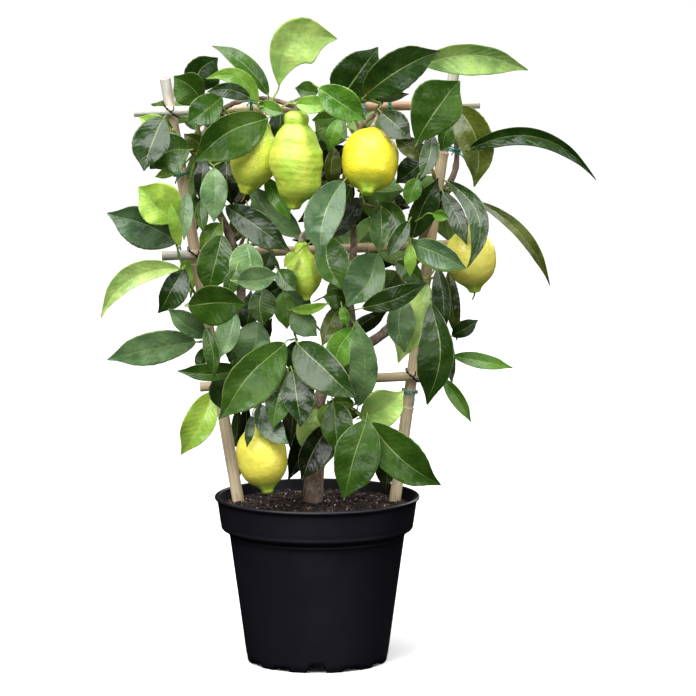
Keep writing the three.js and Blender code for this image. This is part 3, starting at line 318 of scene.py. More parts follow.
@dataclass
class Skin:
    """Gathers the points and faces of one piece, in millimetres.

    Each point keeps where it lies on the thing as it grew or was drawn ("lie") and a colour ("tint").
    """

    points: list[np.ndarray] = field(default_factory=list)
    lies: list[np.ndarray] = field(default_factory=list)
    tints: list[np.ndarray] = field(default_factory=list)
    faces: list[tuple[int, ...]] = field(default_factory=list)
    finishes: list[int] = field(default_factory=list)
    count: int = 0

    def join(self, faces: list[tuple[int, ...]], finish: int = 0) -> None:
        """Adds faces of one finish between points that the skin has."""
        self.faces.extend(faces)
        self.finishes.extend([finish] * len(faces))

    def add(self, points: np.ndarray, faces: Sequence[Sequence[int]], finish: int = 0,
            lie: Optional[np.ndarray] = None, tint: Numbers = (1, 1, 1)) -> None:
        """Adds points and the faces between them.

        Args:
            points: the points.
            faces: the faces, by the points' places among these.
            finish: the number of their finish among the piece's.
            lie: where each point lies on the thing; the points themselves if left out.
            tint: one colour for all, or one for each point.
        """
        self.points.append(points)
        self.lies.append(points * MM if lie is None else lie)
        self.tints.append(np.broadcast_to(np.asarray(tint, float), (len(points), 3)))
        self.join([tuple(self.count + int(corner) for corner in face) for face in faces], finish)
        self.count += len(points)

    def add_rings(self, rings: np.ndarray, closed: bool = False, flip: bool = False, **look: Value) -> None:
        """Adds a body of rings of points.

        Args:
            rings: the points, ring by ring.
            closed: whether the last ring joins the first; otherwise each end has a cap.
            flip: whether the faces look the other way.
            look: the finish, the lie and the tint.
        """
        count, sides = rings.shape[:2]
        faces = grid_faces(count, sides, closed)
        if not closed:
            faces += [tuple(reversed(range(sides))), tuple(range((count - 1) * sides, count * sides))]
        self.add(rings.reshape(-1, 3), [face[::-1] for face in faces] if flip else faces, **look)

    def tube(self, path: np.ndarray, radii: Value, sides: int, finish: int = 0, closed: bool = False,
             tint: Numbers = (1, 1, 1), swell: Optional[Callable] = None) -> None:
        """Adds a round bar, with capped ends unless it is a loop.

        Args:
            path: the points of its line.
            radii: one radius, or one for each point.
            sides: how many sides it has.
            finish: the number of its finish.
            closed: whether it is a loop.
            tint: one colour, or one for each point of the line.
            swell: what the radius is multiplied by, from the angle and the distance along.
        """
        along = heading(path, closed)
        side = np.cross(along[0], [0.0, 0.0, 1.0] if abs(along[0][2]) < 0.9 else [1.0, 0.0, 0.0])
        across = np.empty_like(path)
        for i, direction in enumerate(along):
            side = side - direction * side.dot(direction)
            side = side / np.linalg.norm(side)
            across[i] = side
        angle, reach = angles(sides), reach_along(path)[:, None]
        girth = np.broadcast_to(np.asarray(radii, float), len(path))[:, None] * np.ones(sides)
        if swell is not None:
            girth = girth * swell(angle[None, :], reach)
        right, back = girth * np.cos(angle), girth * np.sin(angle)
        other = np.cross(along, across)
        rings = path[:, None] + across[:, None] * right[..., None] + other[:, None] * back[..., None]
        lie = np.stack([right, back, reach * np.ones(sides)], axis=-1) * MM
        shades = np.broadcast_to(np.asarray(tint, float), (len(path), 3)).repeat(sides, axis=0)
        self.add_rings(rings, closed, finish=finish, lie=lie.reshape(-1, 3), tint=shades)

    def make(self, name: str, finishes: Sequence[bpy.types.Material]) -> bpy.types.Object:
        """Makes the piece.

        Args:
            name: the piece's name.
            finishes: its materials, in the order of the faces' numbers.

        Returns:
            The object, in metres.
        """
        mesh = bpy.data.meshes.new(name)
        mesh.from_pydata((np.concatenate(self.points) * MM).tolist(), [], self.faces)
        lie = mesh.attributes.new("lie", "FLOAT_VECTOR", "POINT")
        lie.data.foreach_set("vector", np.concatenate(self.lies).astype(np.float32).ravel())
        tint = mesh.attributes.new("tint", "FLOAT_COLOR", "POINT")
        tints = np.concatenate([np.concatenate(self.tints), np.ones((self.count, 1))], axis=1)
        tint.data.foreach_set("color", tints.astype(np.float32).ravel())
        mesh.polygons.foreach_set("material_index", self.finishes)
        mesh.polygons.foreach_set("use_smooth", [True] * len(self.faces))
        for finish in finishes:
            mesh.materials.append(finish)
        mesh.validate()
        piece = bpy.data.objects.new(name, mesh)
        bpy.context.scene.collection.objects.link(piece)
        return piece


def seat(piece: bpy.types.Object, slot: str, *nodes: str) -> None:
    """Sets a piece on the tree's body and lets it stand for nodes.

    Args:
        piece: the piece.
        slot: the record's material slot that its finish comes from; not used.
        nodes: the solids that it stands for.
    """
    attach(piece, "root")
    if nodes:
        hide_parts(*nodes)
    LOG.info("%s: %d points", piece.name, len(piece.data.vertices))


def weld(piece: bpy.types.Object) -> None:
    """Joins a piece's points where two lie in one place.

    Args:
        piece: the piece.
    """
    mesh = bmesh.new()
    mesh.from_mesh(piece.data)
    bmesh.ops.remove_doubles(mesh, verts=mesh.verts, dist=1e-6)
    mesh.to_mesh(piece.data)
    mesh.free()


def settle(piece: bpy.types.Object) -> None:
    """Keeps what a piece's modifiers make of it and drops them.

    Args:
        piece: the piece.
    """
    shaped = bpy.data.meshes.new_from_object(piece.evaluated_get(bpy.context.evaluated_depsgraph_get()))
    worn = piece.data
    piece.modifiers.clear()
    piece.data = shaped
    shaped.name = worn.name
    bpy.data.meshes.remove(worn)


# ---------------- finishes


@dataclass(frozen=True)
class Pattern:
    """A pattern over a piece: clouds, or how far each place is from its cell's middle.

    It lies in the piece's own place or, if it is grown, along the thing as it grew.
    """

    scale: float
    detail: float = 3.0
    rough: float = 0.55
    stretch: tuple[float, float, float] = (1, 1, 1)
    grown: bool = False
    celled: bool = False


@dataclass(frozen=True)
class Layer:
    """A colour that a pattern brings in, by the limits that Recipe.pattern takes."""

    pattern: Pattern
    colour: Colour
    limits: tuple[float, ...] = ()


class Recipe:
    """A material's nodes, written in a few words each."""

    def __init__(self, name: str, settings: dict[str, Value]) -> None:
        """Starts a material.

        Args:
            name: its name.
            settings: its shader's fixed settings, by their sockets' names.
        """
        self.material = bpy.data.materials.new(name)
        self.material.use_nodes = True
        self.tree = self.material.node_tree
        self.tree.nodes.clear()
        self.shader = self.tree.nodes.new("ShaderNodeBsdfPrincipled")
        output = self.tree.nodes.new("ShaderNodeOutputMaterial")
        self.tree.links.new(self.shader.outputs["BSDF"], output.inputs["Surface"])
        for socket, value in settings.items():
            self.shader.inputs[socket].default_value = value

    def node(self, kind: str, sockets: dict[str | int, Value | Output], **settings: str) -> bpy.types.Node:
        """Adds a node.

        Args:
            kind: the node's type, without the words that all types start with.
            sockets: what goes into its sockets, by name or number: a value or another's output.
            settings: the node's own settings.

        Returns:
            The node.
        """
        made = self.tree.nodes.new("ShaderNode" + kind)
        for label, value in settings.items():
            setattr(made, label, value)
        for label, value in sockets.items():
            if isinstance(value, Output):
                self.tree.links.new(value, made.inputs[label])
            else:
                made.inputs[label].default_value = value
        return made

    def given(self, name: str, output: str) -> Output:
        """Returns what the piece was given at each point, such as its tint."""
        return self.node("Attribute", {}, attribute_name=name).outputs[output]

    def pattern(self, pattern: Pattern, *limits: float) -> Output:
        """Lays a pattern.

        Args:
            pattern: the pattern.
            limits: the low and high end of a smooth rise across it, and what it starts and ends at.

        Returns:
            The pattern's own value, or the rise if there are limits.
        """
        if pattern.grown:
            place = self.given("lie", "Vector")
        else:
            place = self.node("TexCoord", {}).outputs["Object"]
        place = self.node("VectorMath", {0: place, 1: pattern.stretch}, operation="MULTIPLY").outputs[0]
        sockets = {"Vector": place, "Scale": pattern.scale}
        if pattern.celled:
            value = self.node("TexVoronoi", sockets, feature="F1").outputs["Distance"]
        else:
            sockets |= {"Detail": pattern.detail, "Roughness": pattern.rough}
            value = self.node("TexNoise", sockets).outputs["Fac"]
        return self.span(value, *limits) if limits else value

    def sum(self, operation: str, first: Output, second: Value | Output = 0.0,
            third: Value | Output = 0.0) -> Output:
        """Returns a sum of two or three values, by the operation's name."""
        return self.node("Math", {0: first, 1: second, 2: third}, operation=operation).outputs[0]

    def span(self, value: Output, low: float, high: float, start: float = 0.0, end: float = 1.0) -> Output:
        """Returns a smooth rise from start to end as the value goes from low to high."""
        sockets = {"Value": value, 1: low, 2: high, 3: start, 4: end}
        return self.node("MapRange", sockets, interpolation_type="SMOOTHSTEP").outputs[0]

    def blend(self, share: Value | Output, first: Colour | Output, second: Colour | Output,
              way: str = "MIX") -> Output:
        """Mixes two colours.

        Args:
            share: how much of the second shows.
            first: the first colour.
            second: the second colour.
            way: how they are mixed, by the node's own word.

        Returns:
            The mixed colour.
        """
        sockets = {0: share}
        for place, colour in ((6, first), (7, second)):
            sockets[place] = colour if isinstance(colour, Output) else (*colour, 1)
        return self.node("Mix", sockets, data_type="RGBA", blend_type=way).outputs[2]

    def relief(self, height: Output, distance: float, under: Optional[Output] = None) -> Output:
        """Returns a surface raised by a height of so many metres, over another's relief or none."""
        sockets = {"Height": height, "Distance": distance, "Strength": 1.0}
        return self.node("Bump", sockets if under is None else sockets | {"Normal": under}).outputs[0]

    def finish(self, colour: Output, rough: Optional[Output],
               normal: Optional[Output]) -> bpy.types.Material:
        """Joins the last outputs to the shader.

        Args:
            colour: the base colour.
            rough: the roughness, if it varies.
            normal: the relief, if there is any.

        Returns:
            The material.
        """
        for socket, output in (("Base Color", colour), ("Roughness", rough), ("Normal", normal)):
            if output is not None:
                self.tree.links.new(output, self.shader.inputs[socket])
        return self.material


@dataclass(frozen=True)
class Finish:
    """A finish: layers over a base colour, relief and roughness.

    Each of the reliefs is a height in metres and a pattern, and gloss is a pattern with its limits.
    If the finish is tinted, its colours multiply those that the piece was given.
    """

    name: str
    base: Colour
    layers: tuple[Layer, ...]
    reliefs: tuple[tuple, ...] = ()
    gloss: tuple = ()
    tinted: bool = False
    settings: dict[str, Value] = field(default_factory=dict)

    def material(self) -> bpy.types.Material:
        """Makes the finish's material, if it isn't made yet.

        Returns:
            The material.
        """
        if self.name in MADE:
            return MADE[self.name]
        recipe, colour, normal = Recipe(self.name, self.settings), self.base, None
        for layer in self.layers:
            colour = recipe.blend(recipe.pattern(layer.pattern, *layer.limits), colour, layer.colour)
        if self.tinted:
            colour = recipe.blend(1.0, colour, recipe.given("tint", "Color"), "MULTIPLY")
        for height, *pattern in self.reliefs:
            normal = recipe.relief(recipe.pattern(*pattern), height, normal)
        gloss = recipe.pattern(*self.gloss) if self.gloss else None
        MADE[self.name] = recipe.finish(colour, gloss, normal)
        return MADE[self.name]


WHITE = (1.0, 1.0, 1.0)
# The materials that are made so far, by their finishes' names.
MADE: dict[str, bpy.types.Material] = {}

# Black moulded plastic with a faint blue cast, satin and a little scuffed.
POT_PLASTIC = Finish(
    "black_pot_plastic", paint("#17161d"),
    (Layer(Pattern(55, 6, 0.7, (1, 1, 3)), paint("#24232b"), (0.6, 0.78, 0, 0.4)),),
    ((0.00008, Pattern(420, 2, stretch=(1, 1, 0.05))), (0.00006, Pattern(1500, 2))),
    (Pattern(14, 4), 0.3, 0.75, 0.36, 0.5), settings={"Specular IOR Level": 0.3},
)

# Dark, moist, fibrous potting soil.
CRUMBS, FIBRES = Pattern(420, celled=True), Pattern(900, 4, 0.7, (1, 2.4, 1))
POTTING_SOIL = Finish(
    "potting_soil", paint("#140c09"),
    (
        Layer(Pattern(90, 6, 0.7), paint("#3a241a"), (0.35, 0.65)),
        Layer(FIBRES, paint("#5d4030"), (0.56, 0.72, 0, 0.8)),
        Layer(CRUMBS, paint("#140c09"), (0.2, 0.7, 0, 0.7)),
    ),
    ((0.0012, CRUMBS), (0.0006, FIBRES)), (FIBRES, 0.3, 0.7, 0.75, 1.0),
)

# Dried bamboo: long pale fibres, brown blotches, and grey where it has weathered.
LONG_FIBRES = Pattern(900, 4, 0.6, (1, 1, 0.02), grown=True)
BLOTCHES = Pattern(110, 5, 0.6, (1, 1, 0.3), grown=True)
BAMBOO_SPECKS = Pattern(420, stretch=(1, 1, 0.5), grown=True, celled=True)
BAMBOO = Finish(
    "dried_bamboo", paint("#efdebb"),
    (
        Layer(LONG_FIBRES, paint("#b8976f"), (0.35, 0.7, 0, 0.55)),
        Layer(BLOTCHES, paint("#b8976f"), (0.52, 0.72, 0, 0.6)),
        Layer(BAMBOO_SPECKS, paint("#6b5138"), (0.02, 0.13, 0.6, 0)),
    ),
    ((0.0003, LONG_FIBRES), (0.0001, BAMBOO_SPECKS)), (BLOTCHES, 0.3, 0.8, 0.45, 0.75), tinted=True,
)

# Grey-brown young bark, with pale specks and fine cracks along the wood.
BARK_CLOUDS, CRACKS = Pattern(70, 5, 0.6, (1, 1, 0.5)), Pattern(520, 5, 0.7, (1, 1, 0.14))
BARK_SPECKS = Pattern(380, stretch=(1, 1, 0.6), celled=True)
BARK = Finish(
    "young_bark", paint("#a69384"),
    (
        Layer(BARK_CLOUDS, paint("#735c4c"), (0.35, 0.65)),
        Layer(CRACKS, paint("#3b2f22"), (0.5, 0.68, 0, 0.75)),
        Layer(BARK_SPECKS, paint("#d2c3b2"), (0.1, 0.24, 0.8, 0)),
    ),
    ((0.0009, CRACKS), (0.0004, BARK_SPECKS)), (BARK_CLOUDS, 0.3, 0.7, 0.7, 0.95),
)

# Lemon rind: fine oil pits, and greener where it is less ripe.
RIND_CLOUDS, PITS, FLUSH = Pattern(120, 5, 0.65), Pattern(560, celled=True), (0.84, 0.86, 0.55)
RIND = Finish(
    "lemon_rind", WHITE,
    (Layer(RIND_CLOUDS, FLUSH, (0.42, 0.7, 0, 0.6)), Layer(PITS, FLUSH, (0, 0.3, 0.28, 0))),
    ((0.0003, PITS, 0, 0.45), (0.0009, RIND_CLOUDS)), (RIND_CLOUDS, 0.3, 0.7, 0.26, 0.4), tinted=True,
    settings={"Subsurface Weight": 0.12, "Subsurface Scale": 0.004, "Subsurface Radius": (1.0, 0.75, 0.2)},
)

# The green skin of young twigs and leaf stalks.
STEM_CLOUDS, STREAKS = Pattern(160, 4, grown=True), Pattern(900, stretch=(1, 1, 0.08), grown=True)
DULL = (0.62, 0.6, 0.5)
YOUNG_STEM = Finish(
    "young_stem", WHITE,
    (Layer(STEM_CLOUDS, DULL, (0.35, 0.7)), Layer(STREAKS, DULL, (0.5, 0.75, 0, 0.5))),
    ((0.0002, STREAKS),), tinted=True,
)

STUDIO_FLOOR = Finish(
    "pale_floor", (0.93,) * 3, (Layer(Pattern(3, 2), (0.91605,) * 3),), settings={"Roughness": 0.9}
)


def grain(name: str, shade: float, roughness: float) -> Finish:
    """Draws up the finish of loose bits in the soil: crumbs, perlite or bark chips.

    Args:
        name: the finish's name.
        shade: how light its darker grains are.
        roughness: how rough it is.

    Returns:
        The finish.
    """
    clouds, cells = Pattern(500, 5, 0.7), Pattern(1100, celled=True)
    return Finish(
        name, (shade,) * 3, (Layer(clouds, WHITE, (0.3, 0.7)),), ((0.0006, clouds), (0.0003, cells)),
        tinted=True, settings={"Roughness": roughness},
    )


def cord(name: str, roughness: float, metallic: float) -> Finish:
    """Draws up the finish of the wire or the plastic ties, each tinted strand by strand.

    Args:
        name: the finish's name.
        roughness: how rough it is where it is worn least.
        metallic: how far it is metal.

    Returns:
        The finish.
    """
    wear = Pattern(700, 4, 0.65, (1, 1, 0.4), grown=True)
    return Finish(
        name, (0.5,) * 3, (Layer(wear, WHITE, (0.35, 0.65)),), ((0.0002, wear),),
        (wear, 0.3, 0.7, roughness + 0.2, roughness), tinted=True, settings={"Metallic": metallic},
    )


WIRE = cord("lashing_wire", 0.45, 0.5)
TIE_PLASTIC = cord("tie_plastic", 0.35, 0.0)


@dataclass(frozen=True)
class LeafSkin:
    """A face of a leaf: its rib, its side veins and the pale line round it.

    The leaf's lie is (share along, share across from -1 to 1, a number of its own).
    """

    name: str
    tone: Colour
    toned: float
    vein: Colour
    vein_share: float
    rib_width: float
    gloss: tuple[float, float]
    quilt: float

    def material(self) -> bpy.types.Material:
        """Makes the finish's material.

        Returns:
            The material.
        """
        mat = Recipe(self.name, {"Specular IOR Level": 0.4})
        along, across, number = mat.node("SeparateXYZ", {0: mat.given("lie", "Vector")}).outputs
        side = mat.sum("ABSOLUTE", across)
        patches, clouds, flecks = Pattern(75, 2), Pattern(38, 4, 0.6), Pattern(420, 4, 0.6)
        lead = mat.sum("MULTIPLY_ADD", side, -0.2, along)
        lead = mat.sum("MULTIPLY_ADD", lead, 11.5, mat.sum("MULTIPLY", number, 0.37))
        lead = mat.sum("MULTIPLY_ADD", mat.pattern(Pattern(60, 4, 0.65)), 1.7, lead)
        nerve = mat.sum("PINGPONG", lead, 0.5)
        taper = mat.sum("MULTIPLY_ADD", along, -0.6, 1.0)
        rib = mat.sum("DIVIDE", side, mat.sum("MULTIPLY", taper, self.rib_width))
        base = mat.blend(self.toned, mat.given("tint", "Color"), self.tone)
        vein = mat.blend(0.5, base, self.vein)
        deep = mat.blend(1.0, base, (0.56, 0.68, 0.6), "MULTIPLY")
        fresh = mat.blend(1.0, base, (1.36, 1.26, 1.2), "MULTIPLY")
        colour = mat.blend(mat.pattern(clouds, 0.3, 0.7), deep, fresh)
        colour = mat.blend(mat.pattern(flecks, 0.45, 0.75, 0, 0.35), colour, deep)
        line = mat.span(nerve, 0.0, 0.085, self.vein_share, 0)
        line = mat.sum("MULTIPLY", line, mat.span(side, 0.45, 0.9, 1, 0))
        line = mat.sum("MULTIPLY", line, mat.pattern(patches, 0.35, 0.65))
        for share in (line, mat.span(rib, 0.6, 1.5, 0.9, 0), mat.span(side, 0.955, 0.985, 0, 0.5)):
            colour = mat.blend(share, colour, vein)
        quilt = mat.sum("MULTIPLY", mat.span(nerve, 0.0, 0.4), mat.pattern(patches, 0.3, 0.6, 0.25, 1.0))
        normal = mat.relief(quilt, self.quilt, mat.relief(mat.pattern(patches), 0.0012))
        normal = mat.relief(mat.pattern(flecks), 0.00012, normal)
        return mat.finish(colour, mat.pattern(clouds, 0.3, 0.72, *self.gloss), normal)


UPPER_FACE = LeafSkin(
    "leaf_upper_face", paint("#2f5320"), 0.0, paint("#aebf72"), 0.1, 0.03, (0.2, 0.36), 0.0001
)
UNDER_FACE = LeafSkin(
    "leaf_underside", paint("#6f9248"), 0.6, paint("#a5b875"), 0.22, 0.045, (0.45, 0.6), -0.0002
)


class Tone(Enum):
    """How a leaf is coloured, from old to young, some tones with painted sheen, shade and light."""

    # Partly painted shade: darker than a leaf's own green, for leaves deep in the crown.
    BLACKISH_SHADE = paint("#141f07")
    DARK = paint("#223a11")
    # Painted sheen: a blue-grey green for leaves whose face shows the lights' sheen.
    BLUE = paint("#486341")
    OLIVE = paint("#47521a")
    MID = paint("#38571a")
    # Painted sheen: a pale grey green for leaves whose face shows the lights' sheen.
    PAINTED_SHEEN = paint("#628053")
    RICH = paint("#4f7a22")
    FRESH = paint("#7aa33a")
    # The lime and pale tones are young leaves' colour, partly raised as painted light.
    LIME = paint("#9cc04a")
    PALE = paint("#adcb72")


# ---------------- pot and soil


def arc(middle: float, height: float, size: float, low: float, high: float, count: int) -> list:
    """Returns points of radius and height along a part of a round edge.

    Args:
        middle: the radius that the edge's own middle lies at.
        height: the height that it lies at.
        size: the edge's size.
        low: the angle that it starts at; 0 is outward and a right angle is up.
        high: the angle that it ends at.
        count: how many points it has.

    Returns:
        The points.
    """
    return [
        (middle + size * math.cos(angle), height + size * math.sin(angle))
        for angle in np.linspace(low, high, count)
    ]


@dataclass
class Pot:
    """The nursery pot: a turned shell with a bead, a band, a shoulder and feet cut from its edge."""

    height: float = 168.0
    lip_radius: float = 103.0
    lip_depth: float = 3.5
    lip_edge: float = 1.75
    band_top_radius: float = 100.5
    band_foot_radius: float = 96.6
    band_foot: float = 137.0
    band_edge: float = 3.9
    neck_radius: float = 88.3
    neck: float = 130.0
    neck_edge: float = 1.6
    bead: float = 17.0
    base_radius: float = 70.5
    wall: float = 2.0
    floor: float = 8.0
    floor_thickness: float = 2.4
    floor_radius: float = 58.88
    floor_rings: int = 26
    skirt: float = 3.0
    sides: int = 360
    feet: int = 12
    foot_width: float = 17.0
    foot_depth: float = 8.0
    notches: int = 4
    notch_width: float = 20.5
    notch_height: float = 7.0
    slant: float = 0.45
    drains: int = 4
    drain_radius: float = 5.0
    drain_ring: float = 46.0
    pad: float = 12.0
    oval: float = 0.0004

    def feet_outline(self) -> list[tuple[float, float]]:
        """Draws the part of the shell's section that the feet's cuts raise.

        Returns:
            Its points, each a radius and a height.
        """
        base, inner = self.base_radius, self.base_radius - self.foot_depth
        rows = [(inner, mix(self.floor, 0.6, share)) for share in (0.3, 0.65, 1.0)]
        return rows + [(inner + 0.6, 0.0), (base - 1.0, 0.0), (base - 0.1, 0.8)]

    def wall_outline(self) -> list[tuple[float, float]]:
        """Draws the rest of the section, up the outside, round the lip and down the inside.

        Returns:
            Its points, each a radius and a height.
        """
        base, neck = self.base_radius, self.neck_radius
        heights = np.linspace(0.06, 0.985, 24) * self.neck
        rows = [(mix(base, neck, z / self.neck) + 0.35 * bell(z - self.bead, 1.0), z) for z in heights]
        shoulder = arc(0, self.neck - 0.6, self.neck_edge, -0.5, 1.45, 7)
        rows += [(neck + 0.1 + self.neck_edge - radius, z) for radius, z in shoulder]
        step = self.band_foot_radius - 4.2
        rows += [(step - 1.2, self.neck + 2.2), (step, self.neck + 2.9)]
        edge = self.band_edge
        rows += arc(self.band_foot_radius - edge, self.band_foot + 0.6, edge, -1.35, 0.25, 8)
        for share in np.linspace(0.15, 0.97, 8):
            radius = mix(self.band_foot_radius, self.band_top_radius, share)
            rows.append((radius, mix(self.band_foot, self.height - self.lip_depth, share)))
        edge = self.lip_edge
        rows += arc(self.lip_radius - edge, self.height - edge, edge, -1.35, 1.57, 9)
        inside = self.band_top_radius - self.wall
        for inset, drop in ((0.9, 0.0), (0.15, 0.5), (0.0, 1.6), (-0.9, 9.0)):
            rows.append((inside + inset, self.height - drop))
        rows.append((self.band_foot_radius - self.wall, self.band_foot + 1))
        rows.append((neck - self.wall, self.neck + 0.6))
        level = self.floor + self.floor_thickness
        return rows + [(base - self.wall, level), (self.floor_radius, level)]

    def cut(self, angle: np.ndarray) -> np.ndarray:
        """Cuts the feet from the shell's lower edge.

        Args:
            angle: the angles round the pot.

        Returns:
            How high the edge stands over the ground at each: 0 under a foot.
        """
        pitch = TURN / self.feet
        number = np.round(angle / pitch)
        away = np.abs(angle - number * pitch) * self.base_radius
        is_notch = number % (self.feet / self.notches) == 0
        room = TURN * self.base_radius / self.feet - self.foot_width
        half = np.where(is_notch, self.notch_width, room) / 2
        height = np.where(is_notch, self.notch_height, self.skirt)
        return height * (1 - ease(away, half - height * self.slant, half + 0.5))

    def build(self) -> None:
        """Makes the pot."""
        skin, angle = Skin(), angles(self.sides)
        lift = self.cut(angle)
        mould = 1 + self.oval * np.cos(angle * 2)
        inner = self.base_radius - self.foot_depth
        rows = [level_ring(radius * mould, angle, self.floor) for radius in (self.floor_radius, inner)]
        for radius, height in self.feet_outline():
            level = np.maximum(height, np.minimum(lift + height * 0.15, self.floor - 0.3))
            rows.append(level_ring(radius * mould, angle, level))
        rows += [level_ring(radius * mould, angle, height) for radius, height in self.wall_outline()]
        skin.add(np.concatenate(rows), grid_faces(len(rows), self.sides))
        self.add_floor(skin, angle)
        pot = skin.make("nursery_pot", [POT_PLASTIC.material()])
        weld(pot)
        seat(pot, "pot_plastic", "pot")

    def add_floor(self, skin: Skin, angle: np.ndarray) -> None:
        """Adds the floor inside the shell's ring, with its drain holes and the foot in the middle.

        Args:
            skin: the pot's skin, which has the shell.
            angle: the shell's angles.
        """
        rings, sides = self.floor_rings, self.sides
        radii = np.linspace(self.floor_radius, 0.6, rings + 1)
        middle = (radii[:-1] + radii[1:])[:, None] / 2
        closed = np.ones((rings, sides), bool)
        for drain in range(self.drains):
            turn = angle + TURN * (0.5 / sides - (drain + 0.5) / self.drains)
            away = middle**2 + self.drain_ring**2 - 2 * middle * self.drain_ring * np.cos(turn)
            closed &= away >= self.drain_radius**2
        inner = [rings * sides + i for i in range(sides)]
        start = skin.count
        for is_top in (False, True):
            faces = grid_faces(rings + 1, sides, flip=not is_top)
            faces = [face for face, kept in zip(faces, closed.ravel()) if kept]
            faces.append(tuple(inner if is_top else inner[::-1]))
            height = np.full(rings + 1, self.floor + self.floor_thickness)
            if not is_top:
                height = np.where(radii < self.pad, 0, self.floor)
            skin.add(level_ring(radii[:, None], angle, height[:, None]).reshape(-1, 3), faces)
        self.add_hole_walls(skin, closed, start)

    def add_hole_walls(self, skin: Skin, closed: np.ndarray, under: int) -> None:
        """Adds the walls between the floor's two faces, round its holes.

        Args:
            skin: the pot's skin, which has the shell, the underside and the top.
            closed: which cells of the floor are closed, by ring and side.
            under: the number of the underside's first point.
        """
        rings, sides = closed.shape
        over = under + (rings + 1) * sides
        walls = []
        for row, side in zip(*np.nonzero(~closed)):
            beside = (side + 1) % sides
            here, below = row * sides, (row + 1) * sides
            corners = (here + side, here + beside, below + beside, below + side)
            around = ((row - 1, side), (row, beside), (row + 1, side), (row, side - 1))
            for number, cell in enumerate(around):
                if closed[cell]:
                    first, second = corners[number], corners[(number + 1) % 4]
                    walls.append((under + first, under + second, over + second, over + first))
        skin.join([tuple(int(corner) for corner in wall) for wall in walls])


@dataclass
class Soil:
    """The mound of potting soil, with the loose bits that lie on it."""

    pot: Pot
    gap: float = 0.4
    edge: float = 12.0
    crown: float = 6.0
    sides: int = 144
    crumbs: int = 1500
    perlite: int = 420
    chips: int = 110

    def level(self, x: float, y: float) -> float:
        """Works out how high the soil stands.

        Args:
            x: how far right of the pot's middle.
            y: how far behind it.

        Returns:
            The height there.
        """
        share = math.hypot(x, y) / (self.pot.band_top_radius - self.pot.wall)
        mound = self.pot.height - self.edge + (self.edge - self.crown) * (1 - share * share)
        rough = 2.2 * noise.noise(Vector((x, y, 3.0)) * 0.06)
        fine = 1.1 * noise.noise(Vector((x, y, 9.0)) * 0.22) + 0.5 * noise.noise(Vector((x, y, 21.0)) * 0.7)
        return mound + rough + fine

    def build(self) -> None:
        """Makes the soil and its loose bits."""
        self.build_mound()
        brown = [paint(code) for code in ("#1c110c", "#2d1c14", "#3b281c", "#22150f", "#4a3324")]
        white = [paint(code) for code in ("#d9cfc6", "#b9aaa0", "#e8e2da", "#9f8f86")]
        wood = [paint(code) for code in ("#6b4a36", "#8a674c", "#54392a", "#77604f")]
        self.scatter(grain("soil_crumbs", 0.5, 0.95), self.crumbs, (0.7, 2.3), (1, 1, 0.8), brown)
        self.scatter(grain("soil_perlite", 0.8, 0.8), self.perlite, (0.35, 1.2), (1, 0.9, 0.8), white)
        self.scatter(grain("soil_bark_chips", 0.6, 0.9), self.chips, (1.4, 4.2), (1, 0.42, 0.3), wood)

    def build_mound(self) -> None:
        """Makes the body of the soil: rough on top, plain where the pot hides it."""
        pot, inside = self.pot, self.pot.wall + self.gap
        angle = angles(self.sides)
        rings = []
        for radius in (0.5, *np.linspace(3, pot.band_top_radius - inside - 1.3, 44)):
            level = [self.level(radius * math.cos(turn), radius * math.sin(turn)) for turn in angle]
            rings.append(level_ring(radius, angle, level))
        bottom = pot.floor + pot.floor_thickness + self.gap
        rings += [level_ring(radius, angle, height) for radius, height in (
            (pot.band_foot_radius - inside - 0.6, pot.band_foot + 2),
            (pot.neck_radius - inside - 0.4, pot.neck),
            (pot.base_radius - inside - 0.6, bottom),
            (0.5, bottom),
        )]
        skin = Skin()
        skin.add_rings(np.stack(rings), flip=True)
        seat(skin.make("soil_mound", [POTTING_SOIL.material()]), "potting_soil", "soil")

    def scatter(self, finish: Finish, count: int, sizes: tuple[float, float], shape: Numbers,
                colours: list[Colour]) -> None:
        """Strews small uneven lumps over the soil.

        Args:
            finish: their finish, whose name the piece takes.
            count: how many lumps.
            sizes: their least and greatest radius.
            shape: their length, width and height as shares of the radius.
            colours: the colours that they take in turn.
        """
        draw = np.random.default_rng(SEED + count)
        lump, lump_faces = round_lump()
        skin = Skin()
        reach = self.pot.band_top_radius - self.pot.wall - self.gap - 4
        for number in range(count):
            radius, turn = reach * math.sqrt(draw.random()), draw.random() * TURN
            x, y = radius * math.cos(turn), radius * math.sin(turn)
            size = mix(sizes[0], sizes[1], draw.random() ** 2.2)
            knobs = 1 + draw.uniform(-0.28, 0.28, len(lump))
            spin, tip = draw.random() * TURN, draw.uniform(-0.5, 0.5)
            points = turned(lump * knobs[:, None] * np.array(shape) * size, spin, tip)
            points = points + np.array([x, y, self.level(x, y) + size * shape[2] * 0.35])
            tint = np.array(colours[number % len(colours)]) * draw.uniform(0.7, 1.25)
            skin.add(points, lump_faces, tint=tint)
        seat(skin.make(finish.name, [finish.material()]), "potting_soil")


def round_lump() -> tuple[np.ndarray, list[tuple[int, ...]]]:
    """Makes a small ball of three rings between two poles, to be knocked out of shape.

    Returns:
        Its points, at a radius of one, and its faces.
    """
    sides, rings = 7, 3
    points = [[(0.0, 0.0, 1.0)]]
    for number in range(rings):
        rise = math.pi * (number + 1) / (rings + 1)
        turn = (np.arange(sides) + 0.5 * (number % 2)) / sides * TURN
        points.append(level_ring(math.sin(rise), turn, math.cos(rise)))
    points.append([(0.0, 0.0, -1.0)])
    last = rings * sides + 1
    faces = [(0, 1 + side, 1 + (side + 1) % sides) for side in range(sides)]
    faces += grid_faces(rings, sides, flip=True, start=1)
    faces += [(last, last - sides + (side + 1) % sides, last - sides + side) for side in range(sides)]
    return np.concatenate(points), faces


